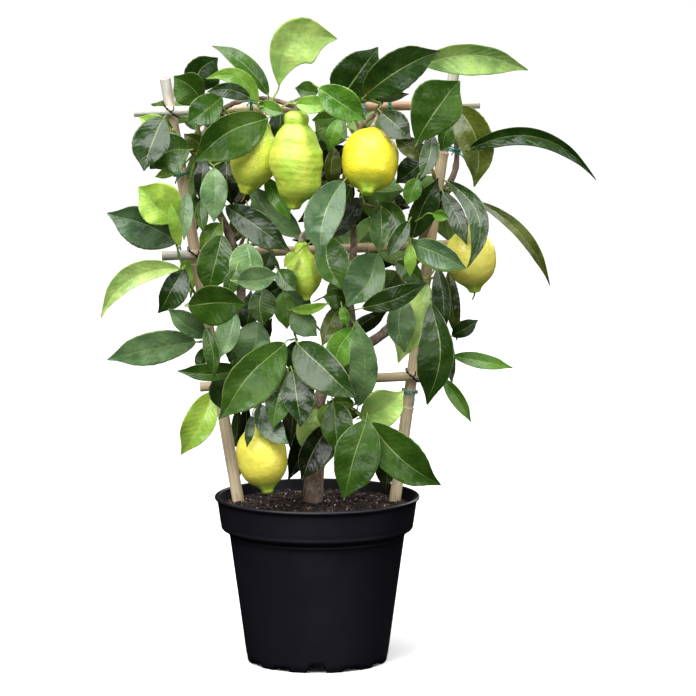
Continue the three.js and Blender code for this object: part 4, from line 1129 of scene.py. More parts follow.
def turned(points: np.ndarray, spin: float, tip: float) -> np.ndarray:
    """Tips points about X and then spins them about Z.

    Args:
        points: the points.
        spin: the angle about Z, in radians.
        tip: the angle about X.

    Returns:
        The points there.
    """
    c, s = math.cos(tip), math.sin(tip)
    tipped = points @ np.array([[1, 0, 0], [0, c, s], [0, -s, c]])
    c, s = math.cos(spin), math.sin(spin)
    return tipped @ np.array([[c, s, 0], [-s, c, 0], [0, 0, 1]])


# ---------------- trellis


@dataclass(frozen=True)
class Cane:
    """One bamboo cane: its line in the elevation, and its joints as shares of its length."""

    line: tuple[float, float, float, float]
    joints: tuple[float, ...]
    is_upright: bool = False


@dataclass(frozen=True)
class Tie:
    """A plant tie: its cane and the share along it, its colour, its loose tail, and a stem held with it."""

    cane: str
    at: float
    colour: Colour
    tail: Route
    stem: Optional[tuple[float, float, float]] = None


CANES = {
    "cane_left": Cane((238, 499, 165, 78), (0.27, 0.56, 0.8), True),
    "cane_right": Cane((395, 499, 454, 71), (0.215, 0.52, 0.81), True),
    "rail_top": Cane((134, 112, 480, 104), (0.35, 0.74)),
    "rail_middle": Cane((162, 256, 457, 244), (0.22, 0.7)),
    "rail_bottom": Cane((200, 387, 431, 375), (0.5,)),
}
# The slant of each wire in degrees, by the rail and the upright that it lashes.
LASHINGS = {
    f"lashing_{level}_{side}": (f"rail_{level}", f"cane_{side}", slant)
    for level, side, slant in (
        ("top", "left", -43), ("top", "right", -48), ("middle", "left", -37), ("middle", "right", -48),
        ("bottom", "left", 50), ("bottom", "right", -45),
    )
}
TEAL, PALE_BLUE, GREEN, SEA_GREEN = (paint(code) for code in ("#2fa588", "#9fc4cf", "#2e8f6c", "#8fc2b4"))
TIES = {
    "tie_top_left": Tie("rail_top", 0.34, TEAL, ((5, 3), (11, 2)), (252, 101, 2.8)),
    "tie_top_middle": Tie("rail_top", 0.665, PALE_BLUE, ((1, 5), (-1, 9))),
    "tie_top_right": Tie("rail_top", 0.74, GREEN, ((3, 4), (5, 9))),
    "tie_left": Tie("cane_left", 0.775, GREEN, ((-4, 4), (-6, 9))),
    "tie_right": Tie("cane_right", 0.825, TEAL, ((7, 6), (13, 15)), (456, 146, 3)),
    "tie_right_low": Tie("cane_right", 0.255, SEA_GREEN, ((4, 6), (3, 14))),
}


@dataclass
class Trellis:
    """The bamboo ladder, with the wire round its crossings and the ties that hold stems to it."""

    stack: Stack
    upright_radius: float = 6.0
    rail_radius: float = 4.9
    upright_depth: float = 20.0
    rail_gap: float = 0.5
    buried: float = 62.0
    wire_radius: float = 0.9
    wire_gap: float = 1.0
    tie_radius: float = 1.5
    tie_gap: float = 0.5
    cane_step: float = 1.6
    cane_sides: int = 28
    ridge_reach: float = 4.0
    strand: float = 0.5
    strand_pitch: float = 9.0
    tie_strand: float = 0.72

    def depth_of(self, cane: Cane) -> float:
        """Returns how deep a cane lies: the rails just in front of the uprights."""
        ahead = self.upright_radius + self.rail_radius + self.rail_gap
        return self.upright_depth - (0 if cane.is_upright else ahead)

    def radius_of(self, cane: Cane) -> float:
        """Returns a cane's radius between its joints."""
        return self.upright_radius if cane.is_upright else self.rail_radius

    def ends(self, cane: Cane) -> tuple[np.ndarray, np.ndarray, float, float]:
        """Works out where a cane lies.

        Args:
            cane: the cane.

        Returns:
            The ends of its line, its length, and the share where it starts in the soil.
        """
        x0, y0, x1, y1 = cane.line
        start, end = (SHEET.place(x, y, self.depth_of(cane)) for x, y in ((x0, y0), (x1, y1)))
        length = float(np.linalg.norm(end - start))
        return start, end, length, -self.buried / length if cane.is_upright else 0.0

    def note_canes(self) -> None:
        """Notes where the canes lie, thicker at their joints."""
        for cane in CANES.values():
            start, end, length, first = self.ends(cane)
            shares = [(first, 0.0)]
            for joint in cane.joints:
                before = joint - self.ridge_reach / length
                shares += [(before, 0.0), (joint, 0.7), (joint + 3 / length, -0.2)]
            shares.append((1.0, -0.3))
            points = np.array([mix(start, end, share) for share, _ in shares])
            self.stack.note_bar(points, [self.radius_of(cane) + swell for _, swell in shares])

    def build_cane(self, name: str) -> None:
        """Makes a cane: its joints' ridges, its slight unevenness and its cut, hollow ends.

        Args:
            name: the cane's name, which is also that of the solid that it stands for.
        """
        cane = CANES[name]
        start, end, length, first = self.ends(cane)
        start = mix(start, end, first)
        shares = np.unique(np.concatenate([
            np.linspace(first, 1, int(length * (1 - first) / self.cane_step)),
            *[joint + np.linspace(-1, 1, 17) * self.ridge_reach / length for joint in cane.joints],
        ]))
        line = mix(start, end, ((shares - first) / (1 - first))[:, None])
        radius = self.radius_of(cane) - 0.35 * shares
        for joint in cane.joints:
            away = (shares - joint) * length
            radius += 0.75 * bell(away, 1.3) + 0.35 * bell(away + 2.6, 0.8) - 0.3 * bell(away - 2.4, 1.6)
        radius += 0.12 * np.sin(shares * length / 23 + cane.line[0])
        skin = Skin()
        tint = self.weather(name, shares)
        skin.tube(line, radius, self.cane_sides, tint=tint, swell=lambda angle, reach: (
            1 + 0.012 * np.sin(3 * angle + reach / 40) + 0.008 * np.sin(7 * angle - reach / 90)
        ))
        self.add_bore(skin, end, unit(end - start), radius[-1])
        if not cane.is_upright:
            self.add_bore(skin, start, unit(start - end), radius[0])
        seat(skin.make("bamboo_" + name, [BAMBOO.material()]), "bamboo", name)

    def weather(self, name: str, shares: np.ndarray) -> np.ndarray:
        """Works out how weather has changed a cane's colour along its length.

        Args:
            name: the cane's name.
            shares: the places, as shares of its length.

        Returns:
            A colour for each, which the straw colour is multiplied by.
        """
        bleached, ruddy = np.array([0.8, 0.94, 1.24]), np.array([0.72, 0.56, 0.56])
        plain = np.ones((len(shares), 3))
        if name == "rail_top":
            ends = np.maximum(ease(-shares, -0.21, -0.17), ease(shares, 0.92, 0.95))[:, None]
            middle = (ease(shares, 0.35, 0.55) * (1 - ease(shares, 0.84, 0.9)))[:, None]
            return mix(mix(plain, ruddy, middle), bleached, ends)
        if name == "rail_middle":
            return mix(np.array([0.74, 0.66, 0.58]), bleached, ease(-shares, -0.12, -0.08)[:, None])
        if name == "rail_bottom":
            return mix(plain, np.array([0.66, 0.6, 0.52]), 0.7)
        tops = ease(shares, 0.9, 0.97)[:, None]
        warm = ruddy if name == "cane_left" else np.array([0.92, 0.86, 0.8])
        share = 0.5 * ease(shares, 0.3, 0.6)[:, None] * (1 + 0.5 * np.sin(shares * 40))[:, None]
        return mix(mix(plain, warm, share), bleached * 0.9, tops)

    def add_bore(self, skin: Skin, centre: np.ndarray, out: np.ndarray, radius: float) -> None:
        """Adds a shallow dished plug in a cane's cut end: painted shade for the dark of its hollow.

        Args:
            skin: the cane's skin.
            centre: the middle of the cut.
            out: the direction that the cut faces.
            radius: the cane's radius there.
        """
        path = np.array([centre - out * 1.5, centre - out * 0.2, centre + out * 0.12])
        # Near-black tint: painted shade for the inside of the hollow.
        skin.tube(path, radius * np.array([0.42, 0.42, 0.4]), 14, tint=(0.16, 0.12, 0.1))

    def loop(self, centre: np.ndarray, u: np.ndarray, discs: list[tuple[float, ...]], clearance: float,
             steps: int) -> np.ndarray:
        """Lays a flat loop of cord round discs.

        Args:
            centre: the loop's middle.
            u: the loop's first direction; its second is straight back.
            discs: each disc's offsets along the two directions and its half-widths along them.
            clearance: how far the cord's middle stays off them.
            steps: how many points the loop has.

        Returns:
            The loop's points.
        """
        points = []
        for angle in angles(steps):
            c, s = math.cos(angle), math.sin(angle)
            right, back, a, b = max(
                discs, key=lambda disc: disc[0] * c + disc[1] * s + math.hypot(disc[2] * c, disc[3] * s)
            )
            norm = math.hypot(a * c, b * s)
            right += a * a * c / norm + clearance * c
            points.append(centre + u * right + BACK * (back + b * b * s / norm + clearance * s))
        return np.array(points)

    def lashing(self, name: str, steps: int) -> np.ndarray:
        """Lays the wire that lashes a rail to an upright, on the slant across their crossing.

        Args:
            name: the lashing's name.
            steps: how many points the loop has.

        Returns:
            The wire's points.
        """
        rail, upright = (CANES[cane] for cane in LASHINGS[name][:2])
        lean = math.radians(LASHINGS[name][2])
        (ax, ay, bx, by), (cx, cy, dx, dy) = rail.line, upright.line
        det = (bx - ax) * (dy - cy) - (by - ay) * (dx - cx)
        share = ((cx - ax) * (dy - cy) - (cy - ay) * (dx - cx)) / det
        x, y = mix(ax, bx, share), mix(ay, by, share)
        u = np.array([math.cos(lean), 0.0, math.sin(lean)])
        front, back = (SHEET.place(x, y, self.depth_of(cane)) for cane in (rail, upright))
        discs = []
        for cane, offset in ((rail, front - front), (upright, back - front)):
            x0, y0, x1, y1 = cane.line
            along = unit(SHEET.place(x1, y1, 0) - SHEET.place(x0, y0, 0))
            half = self.radius_of(cane) / math.sqrt(1 - float(along.dot(u)) ** 2)
            discs.append((float(offset.dot(u)), float(offset[1]), half, self.radius_of(cane)))
        return self.loop(front, u, discs, self.wire_gap + self.wire_radius, steps)

    def tie_lines(self, tie: Tie, steps: int) -> tuple[np.ndarray, np.ndarray, np.ndarray]:
        """Lays a tie's ring and its loose tail.

        Args:
            tie: the tie.
            steps: how many points the ring has.

        Returns:
            The ring's points, the tail's points, and the direction along the cane.
        """
        cane = CANES[tie.cane]
        start, end, *_ = self.ends(cane)
        along = unit(end - start)
        u = unit(np.cross(along, BACK))
        middle = mix(start, end, tie.at)
        discs = [(0.0, 0.0, self.radius_of(cane), self.radius_of(cane))]
        if tie.stem:
            x, y, radius = tie.stem
            offset = SHEET.place(x, y, WOOD_DEPTH) - middle
            back = WOOD_DEPTH - self.depth_of(cane)
            discs.append((float(offset.dot(u)), back, radius + 0.8, radius + 0.4))
        points = self.loop(middle, u, discs, self.tie_gap + self.tie_radius, steps)
        knot = points[int(np.argmin(points[:, 1]))]
        tail = [knot + np.array([x, -0.8 * (number + 1), -y]) for number, (x, y) in enumerate(tie.tail)]
        return points, np.array([knot, *tail]), along

    def note_cords(self) -> None:
        """Notes where the wires and the ties lie."""
        for name in LASHINGS:
            path = self.lashing(name, 14)
            self.stack.note_bar(np.vstack([path, path[:1]]), [self.wire_radius] * (len(path) + 1))
        for tie in TIES.values():
            path, tail, _ = self.tie_lines(tie, 12)
            self.stack.note_bar(np.vstack([path, path[:1]]), [self.tie_radius] * (len(path) + 1))
            self.stack.note_bar(tail, [self.tie_radius * 0.8] * len(tail))

    def twist(self, skin: Skin, path: np.ndarray, strand: float, pitch: float, closed: bool) -> None:
        """Adds two thin dark strands twisted round a line.

        Args:
            skin: the piece's skin.
            path: the line.
            strand: a strand's radius.
            pitch: the length of one turn.
            closed: whether the line is a loop.
        """
        along = heading(path, closed)
        side = unit(np.cross(along, np.broadcast_to([0.37, 0.2, 0.9], along.shape)))
        other = np.cross(along, side)
        reach = reach_along(path)
        length = reach[-1] + (float(np.linalg.norm(path[0] - path[-1])) if closed else 0.0)
        turns = max(1, round(length / pitch))
        for phase in (0.0, math.pi):
            angle = (reach / length * turns * TURN + phase)[:, None]
            line = path + strand * (side * np.cos(angle) + other * np.sin(angle))
            skin.tube(line, strand, 8, closed=closed, tint=paint("#33261f"))

    def build_lashing(self, name: str) -> None:
        """Makes a lashing: two twisted wires round the crossing, and their twisted ends in front.

        Args:
            name: the lashing's name, which is also that of its solid.
        """
        path, skin = self.lashing(name, 120), Skin()
        self.twist(skin, path, self.strand, self.strand_pitch, True)
        knot = path[int(np.argmin(path[:, 1]))]
        end = knot + np.array([[0, 0, 0], [1.6, -1.7, 0.5], [3.4, -1.2, 2.8], [3.2, -1.3, 5.4]])
        self.twist(skin, flowing(end, 0.5), 0.42, 2.4, False)
        seat(skin.make("wire_" + name, [WIRE.material()]), "lashing_wire", name)

    def build_tie(self, name: str) -> None:
        """Makes a tie: two turns side by side, a knot and a loose tail.

        Args:
            name: the tie's name, which is also that of its solid.
        """
        tie = TIES[name]
        path, tail, along = self.tie_lines(tie, 96)
        skin = Skin()
        for side in (-1, 1):
            wobble = np.sin(angles(len(path)) * 2 + side)[:, None] * 0.25
            ring = path + along * (side * 0.85 + wobble)
            skin.tube(ring, self.tie_strand, 10, closed=True, tint=tie.colour)
        knot = tail[0]
        turn = np.linspace(0, TURN * 2, 60)[:, None]
        coil = knot + along * 1.5 * np.cos(turn) - BACK * (0.6 + 0.9 * np.sin(turn / 2))
        coil = coil + np.cross(along, BACK) * (turn / TURN - 1) * 1.3
        skin.tube(coil, 0.66, 8, tint=tie.colour)
        line = flowing(tail, 0.6)
        sway = np.sin(np.linspace(0, math.pi, len(line)))[:, None]
        skin.tube(line + sway * np.array([0.0, -0.8, 0.6]), self.tie_strand, 10, tint=tie.colour)
        short = flowing(knot + np.array([[0, 0, 0], [-2.2, -1.2, -1.6], [-4.2, -1.0, -4.4]]), 0.5)
        skin.tube(short, 0.62, 8, tint=np.array(tie.colour) * 0.9)
        seat(skin.make("plant_" + name, [TIE_PLASTIC.material()]), "tie_plastic", name)

    def build(self) -> None:
        """Makes the canes, the lashings and the ties."""
        for name in CANES:
            self.build_cane(name)
        for name in LASHINGS:
            self.build_lashing(name)
        for name in TIES:
            self.build_tie(name)


# ---------------- fruit


# How far round a bump reaches, in degrees, where it is a ring.
ALL_ROUND = 720


@dataclass(frozen=True)
class Lemon:
    """One lemon as it is drawn in the elevation.

    line runs from its stalk end to its blossom end, forward is how far the blossom end comes to the
    front, neck is a share of the length, and stalk is the way of its stalk from the wood. green is
    how unripe its stalk end, its middle and its blossom end are, and pale how creamy its yellow is.
    A bump is a share of the length, how far it reaches along, how much it swells, its side and how
    far it reaches round in degrees (0 is right, 180 left).
    """

    line: tuple[float, float, float, float]
    radius: float
    layer: int
    forward: float
    neck: float
    stalk: Route
    green: tuple[float, float, float]
    pale: float = 0.0
    lumps: float = 1.0
    rings: float = 0.0
    bumps: tuple[tuple[float, ...], ...] = ()
    style: Optional[tuple[float, float, float]] = None
    blush: Optional[tuple[float, float, float]] = None

    SKIN = (
        (0.03, 0.3), (0.09, 0.56), (0.19, 0.82), (0.32, 0.97), (0.46, 1.0), (0.6, 0.96),
        (0.73, 0.82), (0.83, 0.58), (0.89, 0.36), (0.93, 0.26), (0.98, 0.2),
    )

    def profile(self) -> np.ndarray:
        """Draws its outline, at a length and a radius of one.

        Returns:
            Rows of radius and distance from its stalk end.
        """
        rows = [(0.0, 0.015), (0.16, 0.0)]
        if self.neck > 0:
            rows += [(0.34, 0.02), (0.42, 0.05 + self.neck * 0.3)]
        for share, radius in self.SKIN:
            is_neck = share < 0.2 and self.neck > 0
            rows.append((max(radius, 0.47) if is_neck else radius, mix(self.neck * 0.62, 1, share)))
        if self.neck > 0.05:
            rows = rows[:4] + rows[6:]
        return np.array(rows + [(0.0, 1.0)])

    def samples(self) -> np.ndarray:
        """Samples its back half.

        Returns:
            Rows of x, y, depth, and how far the half reaches back from its middle there.
        """
        x0, y0, x1, y1 = self.line
        length = math.hypot(x1 - x0, y1 - y0)
        rows, profile = [], self.profile()
        for here, after in zip(profile[:-1], profile[1:]):
            for part in (0, 0.34, 0.67):
                girth = self.radius * mix(here[0], after[0], part)
                along = mix(here[1], after[1], part)
                offset = np.arange(-1, 1.001, 0.125)
                rim = girth * np.sqrt(np.maximum(1 - offset * offset, 0))
                x = mix(x0, x1, along) - (y1 - y0) / length * girth * offset
                y = mix(y0, y1, along) + (x1 - x0) / length * girth * offset
                rows.append(np.stack([x, y, rim - self.forward * along, rim], axis=-1))
        return np.concatenate(rows)

    def ends(self, depth: float) -> tuple[np.ndarray, np.ndarray]:
        """Returns its stalk end and its blossom end, in space."""
        x0, y0, x1, y1 = self.line
        return SHEET.place(x0, y0, depth), SHEET.place(x1, y1, depth - self.forward)


LEMONS = {
    "lemon_1": Lemon(
        (263, 121, 245, 195), 22.5, 4, 8, 0.1, ((266, 100), (265, 112)), (0.9, 0.5, 0.6), 0.25,
        bumps=((0.93, 0.04, 0.25, 0, ALL_ROUND), (0.55, 0.2, 0.08, 0, 60)), style=(-4, 7, 0.8),
    ),
    "lemon_2": Lemon(
        (296, 111, 294, 210), 26, 4, 4, 0.3, ((299, 109), (297, 106)), (1.0, 0.8, 0.95), 0.3,
        lumps=1.8, rings=1.0, bumps=(
            (0.07, 0.05, 0.12, 0, ALL_ROUND), (0.21, 0.09, 0.26, 0, ALL_ROUND),
            (0.135, 0.018, -0.08, 0, ALL_ROUND), (0.4, 0.06, 0.08, 10, 50), (0.53, 0.05, 0.06, 0, 40),
            (0.82, 0.12, 0.2, 0, 70), (0.74, 0.14, -0.24, 180, 70),
        ),
    ),
    "lemon_3": Lemon(
        (373, 129, 367, 195), 28, 4, 34, 0, ((377, 112), (376, 120)), (0.05, 0.1, 1.0),
        lumps=0.7, bumps=((0.8, 0.12, 0.08, 0, ALL_ROUND),), blush=(0.1, 0.1, 0.45),
    ),
    "lemon_4": Lemon(
        (301, 242, 307, 301), 15.5, 3, 6, 0.22, ((350, 214), (326, 222), (304, 233)), (0.98, 0.85, 0.7),
        0.4, 1.4, blush=(-0.9, 0.72, 0.55), bumps=((0.5, 0.25, 0.1, 180, 60), (0.62, 0.16, 0.14, 0, 60)),
    ),
    "lemon_5": Lemon(
        (467, 225, 475, 293), 25, 3, 2, 0.06, ((439, 202), (452, 208), (464, 217)), (0.5, 0.04, 1.0), 0.4,
        lumps=0.9, style=(-3, 7, 0.8), blush=(-0.7, 0.35, 0.45),
    ),
    "lemon_6": Lemon(
        (256, 420, 268, 494), 25, 2, 8, 0.12, ((286, 376), (268, 392), (257, 410)), (0.35, 0.04, 0.98),
        0.25,
    ),
}


@dataclass
class Fruit:
    """The lemons, at the depths that the laying gives them."""

    depths: dict[str, float]
    sides: int = 96
    yellow: Colour = paint("#f5e535")
    cream: Colour = paint("#fdf7a2")
    green: Colour = paint("#a9cb45")
    brown: Colour = paint("#a87c1c")

    def build(self) -> None:
        """Makes each lemon."""
        for number, name in enumerate(LEMONS):
            self.build_lemon(name, number)

    def build_lemon(self, name: str, number: int) -> None:
        """Makes a lemon with its lumps, its rings, its ripeness and what is left of its flower.

        Args:
            name: the lemon's name, which is also that of the solid that it stands for.
            number: its place among the fruit, which its lumps vary with.
        """
        lemon = LEMONS[name]
        top, end = lemon.ends(self.depths[name])
        length = float(np.linalg.norm(end - top))
        axis = unit(end - top)
        rows = lemon.profile() * [lemon.radius, length]
        rows = flowing(np.column_stack([rows[:, 0], np.zeros(len(rows)), rows[:, 1]]), 0.8)[1:-1]
        angle = angles(self.sides)
        shares = rows[:, 2] / length
        girth = np.stack([self.lumpy(lemon, number, share, angle) for share in shares])
        girth = np.maximum(rows[:, :1], 0.3) * girth
        tints = np.concatenate([self.ripeness(lemon, number, share, angle) for share in shares])
        skin = Skin()
        skin.add_rings(round_rings(top, end, rows[:, 2], girth), flip=True, tint=tints)
        if lemon.style:
            x, y, radius = lemon.style
            tip = end + np.array([x, 0.0, -y])
            line = flowing(np.array([end - axis * 1.5, mix(end, tip, 0.5) + [0.4, 0, 0], tip]), 0.6)
            skin.tube(line, np.linspace(radius * 1.3, radius * 0.8, len(line)), 10, tint=paint("#6f6a34"))
        seat(skin.make("fruit_" + name, [RIND.material()]), "lemon_rind", name)

    def lumpy(self, lemon: Lemon, number: int, share: float, angle: np.ndarray) -> np.ndarray:
        """Works out how far the rind swells or sinks round the fruit.

        Args:
            lemon: the lemon.
            number: its place among the fruit.
            share: how far along it is.
            angle: the angles.

        Returns:
            What the radius is multiplied by at each angle.
        """
        shape, away = np.ones(len(angle)), Vector((number * 9.1, 0, 0))
        for i, turn in enumerate(angle):
            spot = Vector((math.cos(turn), math.sin(turn), share * 3.2)) * 1.3 + away
            shape[i] += lemon.lumps * (0.022 * noise.noise(spot) + 0.009 * noise.noise(spot * 3.1))
            shape[i] += 0.0035 * noise.noise(spot * 9.0)
        neck = 1 - ease(share, 0.1, 0.3 + lemon.neck)
        shape += neck * 0.05 * lemon.lumps * np.sin(5 * angle + number)
        shape += ease(share, 0.84, 0.93) * 0.09 * np.sin(4 * angle + number * 2)
        for at, reach, amount, side, spread in lemon.bumps:
            away = (angle - math.radians(side) + math.pi) % TURN - math.pi
            shape += amount * bell(share - at, reach) * bell(away, math.radians(spread))
        fade = ease(share, 0.12, 0.22) * (1 - ease(share, 0.7, 0.85))
        return shape + 0.0032 * lemon.rings * fade * np.sin(share * 95 + 1.2 * np.sin(angle * 2))

    def ripeness(self, lemon: Lemon, number: int, share: float, angle: np.ndarray) -> np.ndarray:
        """Works out the rind's colour round the fruit.

        Args:
            lemon: the lemon.
            number: its place among the fruit.
            share: how far along it is.
            angle: the angles.

        Returns:
            A colour for each angle.
        """
        stalk, middle, blossom = lemon.green
        green = mix(stalk, middle, ease(share, 0.05, 0.45))
        green = mix(green, blossom, ease(share, 0.72, 0.95))
        away = Vector((0, number * 5.3, 0))
        spots = (Vector((math.cos(turn), math.sin(turn), share * 2)) * 1.7 + away for turn in angle)
        cloud = np.array([noise.noise(spot) for spot in spots])
        green = np.clip(green + 0.35 * cloud * (0.3 + green), 0, 1)[:, None]
        yellow = mix(np.array(self.yellow), np.array(self.cream), lemon.pale)
        colour = mix(yellow, np.array(self.green), green)
        if lemon.blush:
            cosine, at, amount = lemon.blush
            near = bell(share - at, 0.12) * ease(np.cos(angle + math.acos(cosine)), 0.7, 1.0)
            colour = mix(colour, np.array(self.brown), (amount * near)[:, None])
        return colour


# ---------------- wood


# Where each stem runs in the elevation: x, y and radius.
STEMS = {
    "trunk": (
        (313, 546, 8.5), (313, 520, 10.5), (313, 499, 10), (315, 465, 9.2), (316, 440, 8.6),
        (313, 408, 7.5),
    ),
    "left": (
        (315, 436, 7.4), (300, 392, 6.2), (268, 356, 5.4), (244, 320, 5), (240, 275, 4.6), (227, 229, 4.2),
        (208, 192, 3.6), (200, 150, 3), (214, 117, 2.6), (240, 101, 2.5), (272, 100, 2.5), (301, 109, 2.4),
    ),
    "right": (
        (315, 436, 7.4), (322, 392, 6.4), (346, 359, 5.6), (387, 330, 5), (408, 300, 4.6), (414, 264, 4.2),
        (425, 231, 3.8), (440, 199, 3.4), (455, 170, 3), (456, 140, 2.6), (447, 116, 2.3),
    ),
    "middle": (
        (346, 359, 4.8), (352, 322, 4.2), (348, 288, 3.8), (354, 243, 3.5), (350, 210, 3.2), (345, 178, 3),
        (352, 146, 2.7), (368, 119, 2.5), (383, 110, 2.2),
    ),
}
# Bare side twigs and the thorn, drawn like the stems: x, y and radius along each.
SPURS = (
    ((386, 331, 2.6), (379, 338, 1.4), (374, 346, 0.5)),
    ((240, 246, 2.2), (246, 233, 1.9), (250, 223, 1.7)),
    ((344, 352, 2.0), (326, 336, 1.3), (312, 322, 1.1), (296, 312, 0.9)),
    ((351, 300, 2.0), (337, 290, 1.4), (325, 296, 1.1), (313, 302, 0.8)),
    ((298, 388, 2.4), (306, 379, 1.6), (311, 371, 1.3)),
    ((418, 250, 1.8), (411, 240, 1.2), (407, 231, 0.7)),
)


@dataclass
class Wood:
    """The trunk and its three branches, one grown piece with the stalks of the fruit."""

    stack: Stack
    depths: dict[str, float]
    stalk_radius: float = 1.7
    fruit_gap: float = 0.35
    stem_step: float = 2.0
    first_knot: float = 14.0
    knot_spacing: float = 23.0
    voxel: float = 0.75

    def drawn(self, stem: Sequence[tuple[float, float, float]]) -> np.ndarray:
        """Returns a stem's points in space, with its radius as the last column."""
        x, y, radius = np.array(stem, float).T
        return np.column_stack([SHEET.place(x, y, WOOD_DEPTH), radius])

    def note_stems(self) -> None:
        """Notes where the stems lie."""
        for stem in STEMS.values():
            rows = self.drawn(stem)
            self.stack.note_bar(rows[:, :3], rows[:, 3])

    def build(self) -> None:
        """Makes the wood, and the green star at the top of each fruit."""
        skin = Skin()
        for stem in STEMS.values():
            self.add_stem(skin, flowing(self.drawn(stem), self.stem_step), knots=True)
        for spur in SPURS:
            rows = self.drawn(spur)
            rows[1:-1, 1] -= 1.5
            self.add_stem(skin, flowing(rows, 1.2))
        for name in LEMONS:
            self.add_stem(skin, self.stalk(name))
        piece = skin.make("grown_wood", [BARK.material()])
        self.grow_together(piece)
        seat(piece, "bark", "trunk_and_branches")
        self.build_calyxes()

    def add_stem(self, skin: Skin, rows: np.ndarray, knots: bool = False) -> None:
        """Adds a stem, uneven and with swollen knots where leaves once grew.

        Args:
            skin: the wood's skin.
            rows: its points and radii.
            knots: whether it has knots.
        """
        radii, reach = rows[:, 3].copy(), np.arange(len(rows)) * self.stem_step
        for knot in np.arange(self.first_knot, reach[-1], self.knot_spacing) if knots else ():
            radii += 0.55 * bell(reach - knot - vary(knot, -6, 6), 2.6)
        skin.tube(rows[:, :3], radii, 20, swell=lambda angle, along: (
            1 + 0.035 * np.sin(2 * angle + along / 17) + 0.025 * np.sin(5 * angle - along / 9)
        ))

    def stalk(self, name: str) -> np.ndarray:
        """Draws a fruit's stalk from the wood to just short of the fruit.

        Args:
            name: the lemon's name.

        Returns:
            The stalk's points and radii.
        """
        lemon, depth = LEMONS[name], self.depths[name]
        top, end = lemon.ends(depth)
        axis = unit(end - top)
        points = []
        for number, (x, y) in enumerate(lemon.stalk):
            points.append(SHEET.place(x, y, mix(WOOD_DEPTH, depth, number / (len(lemon.stalk) - 0.6))))
        points += [top - axis * 5, top - axis * self.fruit_gap]
        radii = self.stalk_radius * np.array([1.0] * (len(points) - 2) + [1.15, 1.7])
        return flowing(np.column_stack([np.array(points), radii]), 1.2)

    def grow_together(self, piece: bpy.types.Object) -> None:
        """Turns the overlapping stems into one skin and roughens it.

        Args:
            piece: the wood.
        """
        remesh = piece.modifiers.new("one_skin", "REMESH")
        remesh.mode = "VOXEL"
        remesh.voxel_size = self.voxel * MM
        smooth = piece.modifiers.new("soft_forks", "SMOOTH")
        smooth.factor = 0.5
        smooth.iterations = 3
        settle(piece)
        mesh = piece.data
        points, normals = np.empty((2, len(mesh.vertices) * 3), np.float32)
        mesh.vertices.foreach_get("co", points)
        mesh.vertices.foreach_get("normal", normals)
        spots = points.reshape(-1, 3).tolist()
        furrows = np.array([noise.noise(Vector((x * 330, y * 330, z * 90))) for x, y, z in spots])
        pores = np.array([noise.noise(Vector(spot) * 900) for spot in spots])
        points = points + normals * np.repeat((0.32 * furrows + 0.16 * pores) * MM, 3)
        mesh.vertices.foreach_set("co", points.astype(np.float32))
        mesh.polygons.foreach_set("use_smooth", [True] * len(mesh.polygons))
        mesh.update()

    def build_calyxes(self) -> None:
        """Makes the small green star that each fruit hangs from."""
        skin, angle = Skin(), angles(40)
        star = np.array([
            (1.6, -1.9, 0.0), (2.6, -1.2, 0.1), (4.2, -0.5, 0.22),
            (4.4, -0.2, 0.24), (3.4, -0.15, 0.2), (0.4, -0.3, 0.0),
        ])
        girth = star[:, :1] * (1 + star[:, 2:] * np.cos(5 * angle))
        for name, lemon in LEMONS.items():
            rings = round_rings(*lemon.ends(self.depths[name]), star[:, 1] - self.fruit_gap + 0.3, girth)
            skin.add_rings(rings, tint=paint("#6f8a35"))
        seat(skin.make("fruit_calyxes", [YOUNG_STEM.material()]), "bark")


# ---------------- leaves


@dataclass(frozen=True)
class Leaf:
    """One leaf as it is drawn in the elevation, base first.

    turn is about its rib, in degrees. is_under shows its underside. late is over 1 if it is widest
    further out than just below its middle, and under 1 if nearer its base.
    """

    x0: float
    y0: float
    x1: float
    y1: float
    width: float
    layer: int
    tone: Tone
    bend: float = 0.0
    turn: float = 0.0
    is_under: bool = False
    late: float = 1.0

    @property
    def length(self) -> float:
        """Returns its length in the elevation."""
        return math.hypot(self.x1 - self.x0, self.y1 - self.y0)


@dataclass(frozen=True)
class Shoot:
    """A leafy shoot: its twig's way from the wood, and a row of values for each of its leaves."""

    twig: Route
    rows: tuple[tuple, ...]

    def leaves(self) -> list[Leaf]:
        """Returns its leaves."""
        return [Leaf(*row) for row in self.rows]


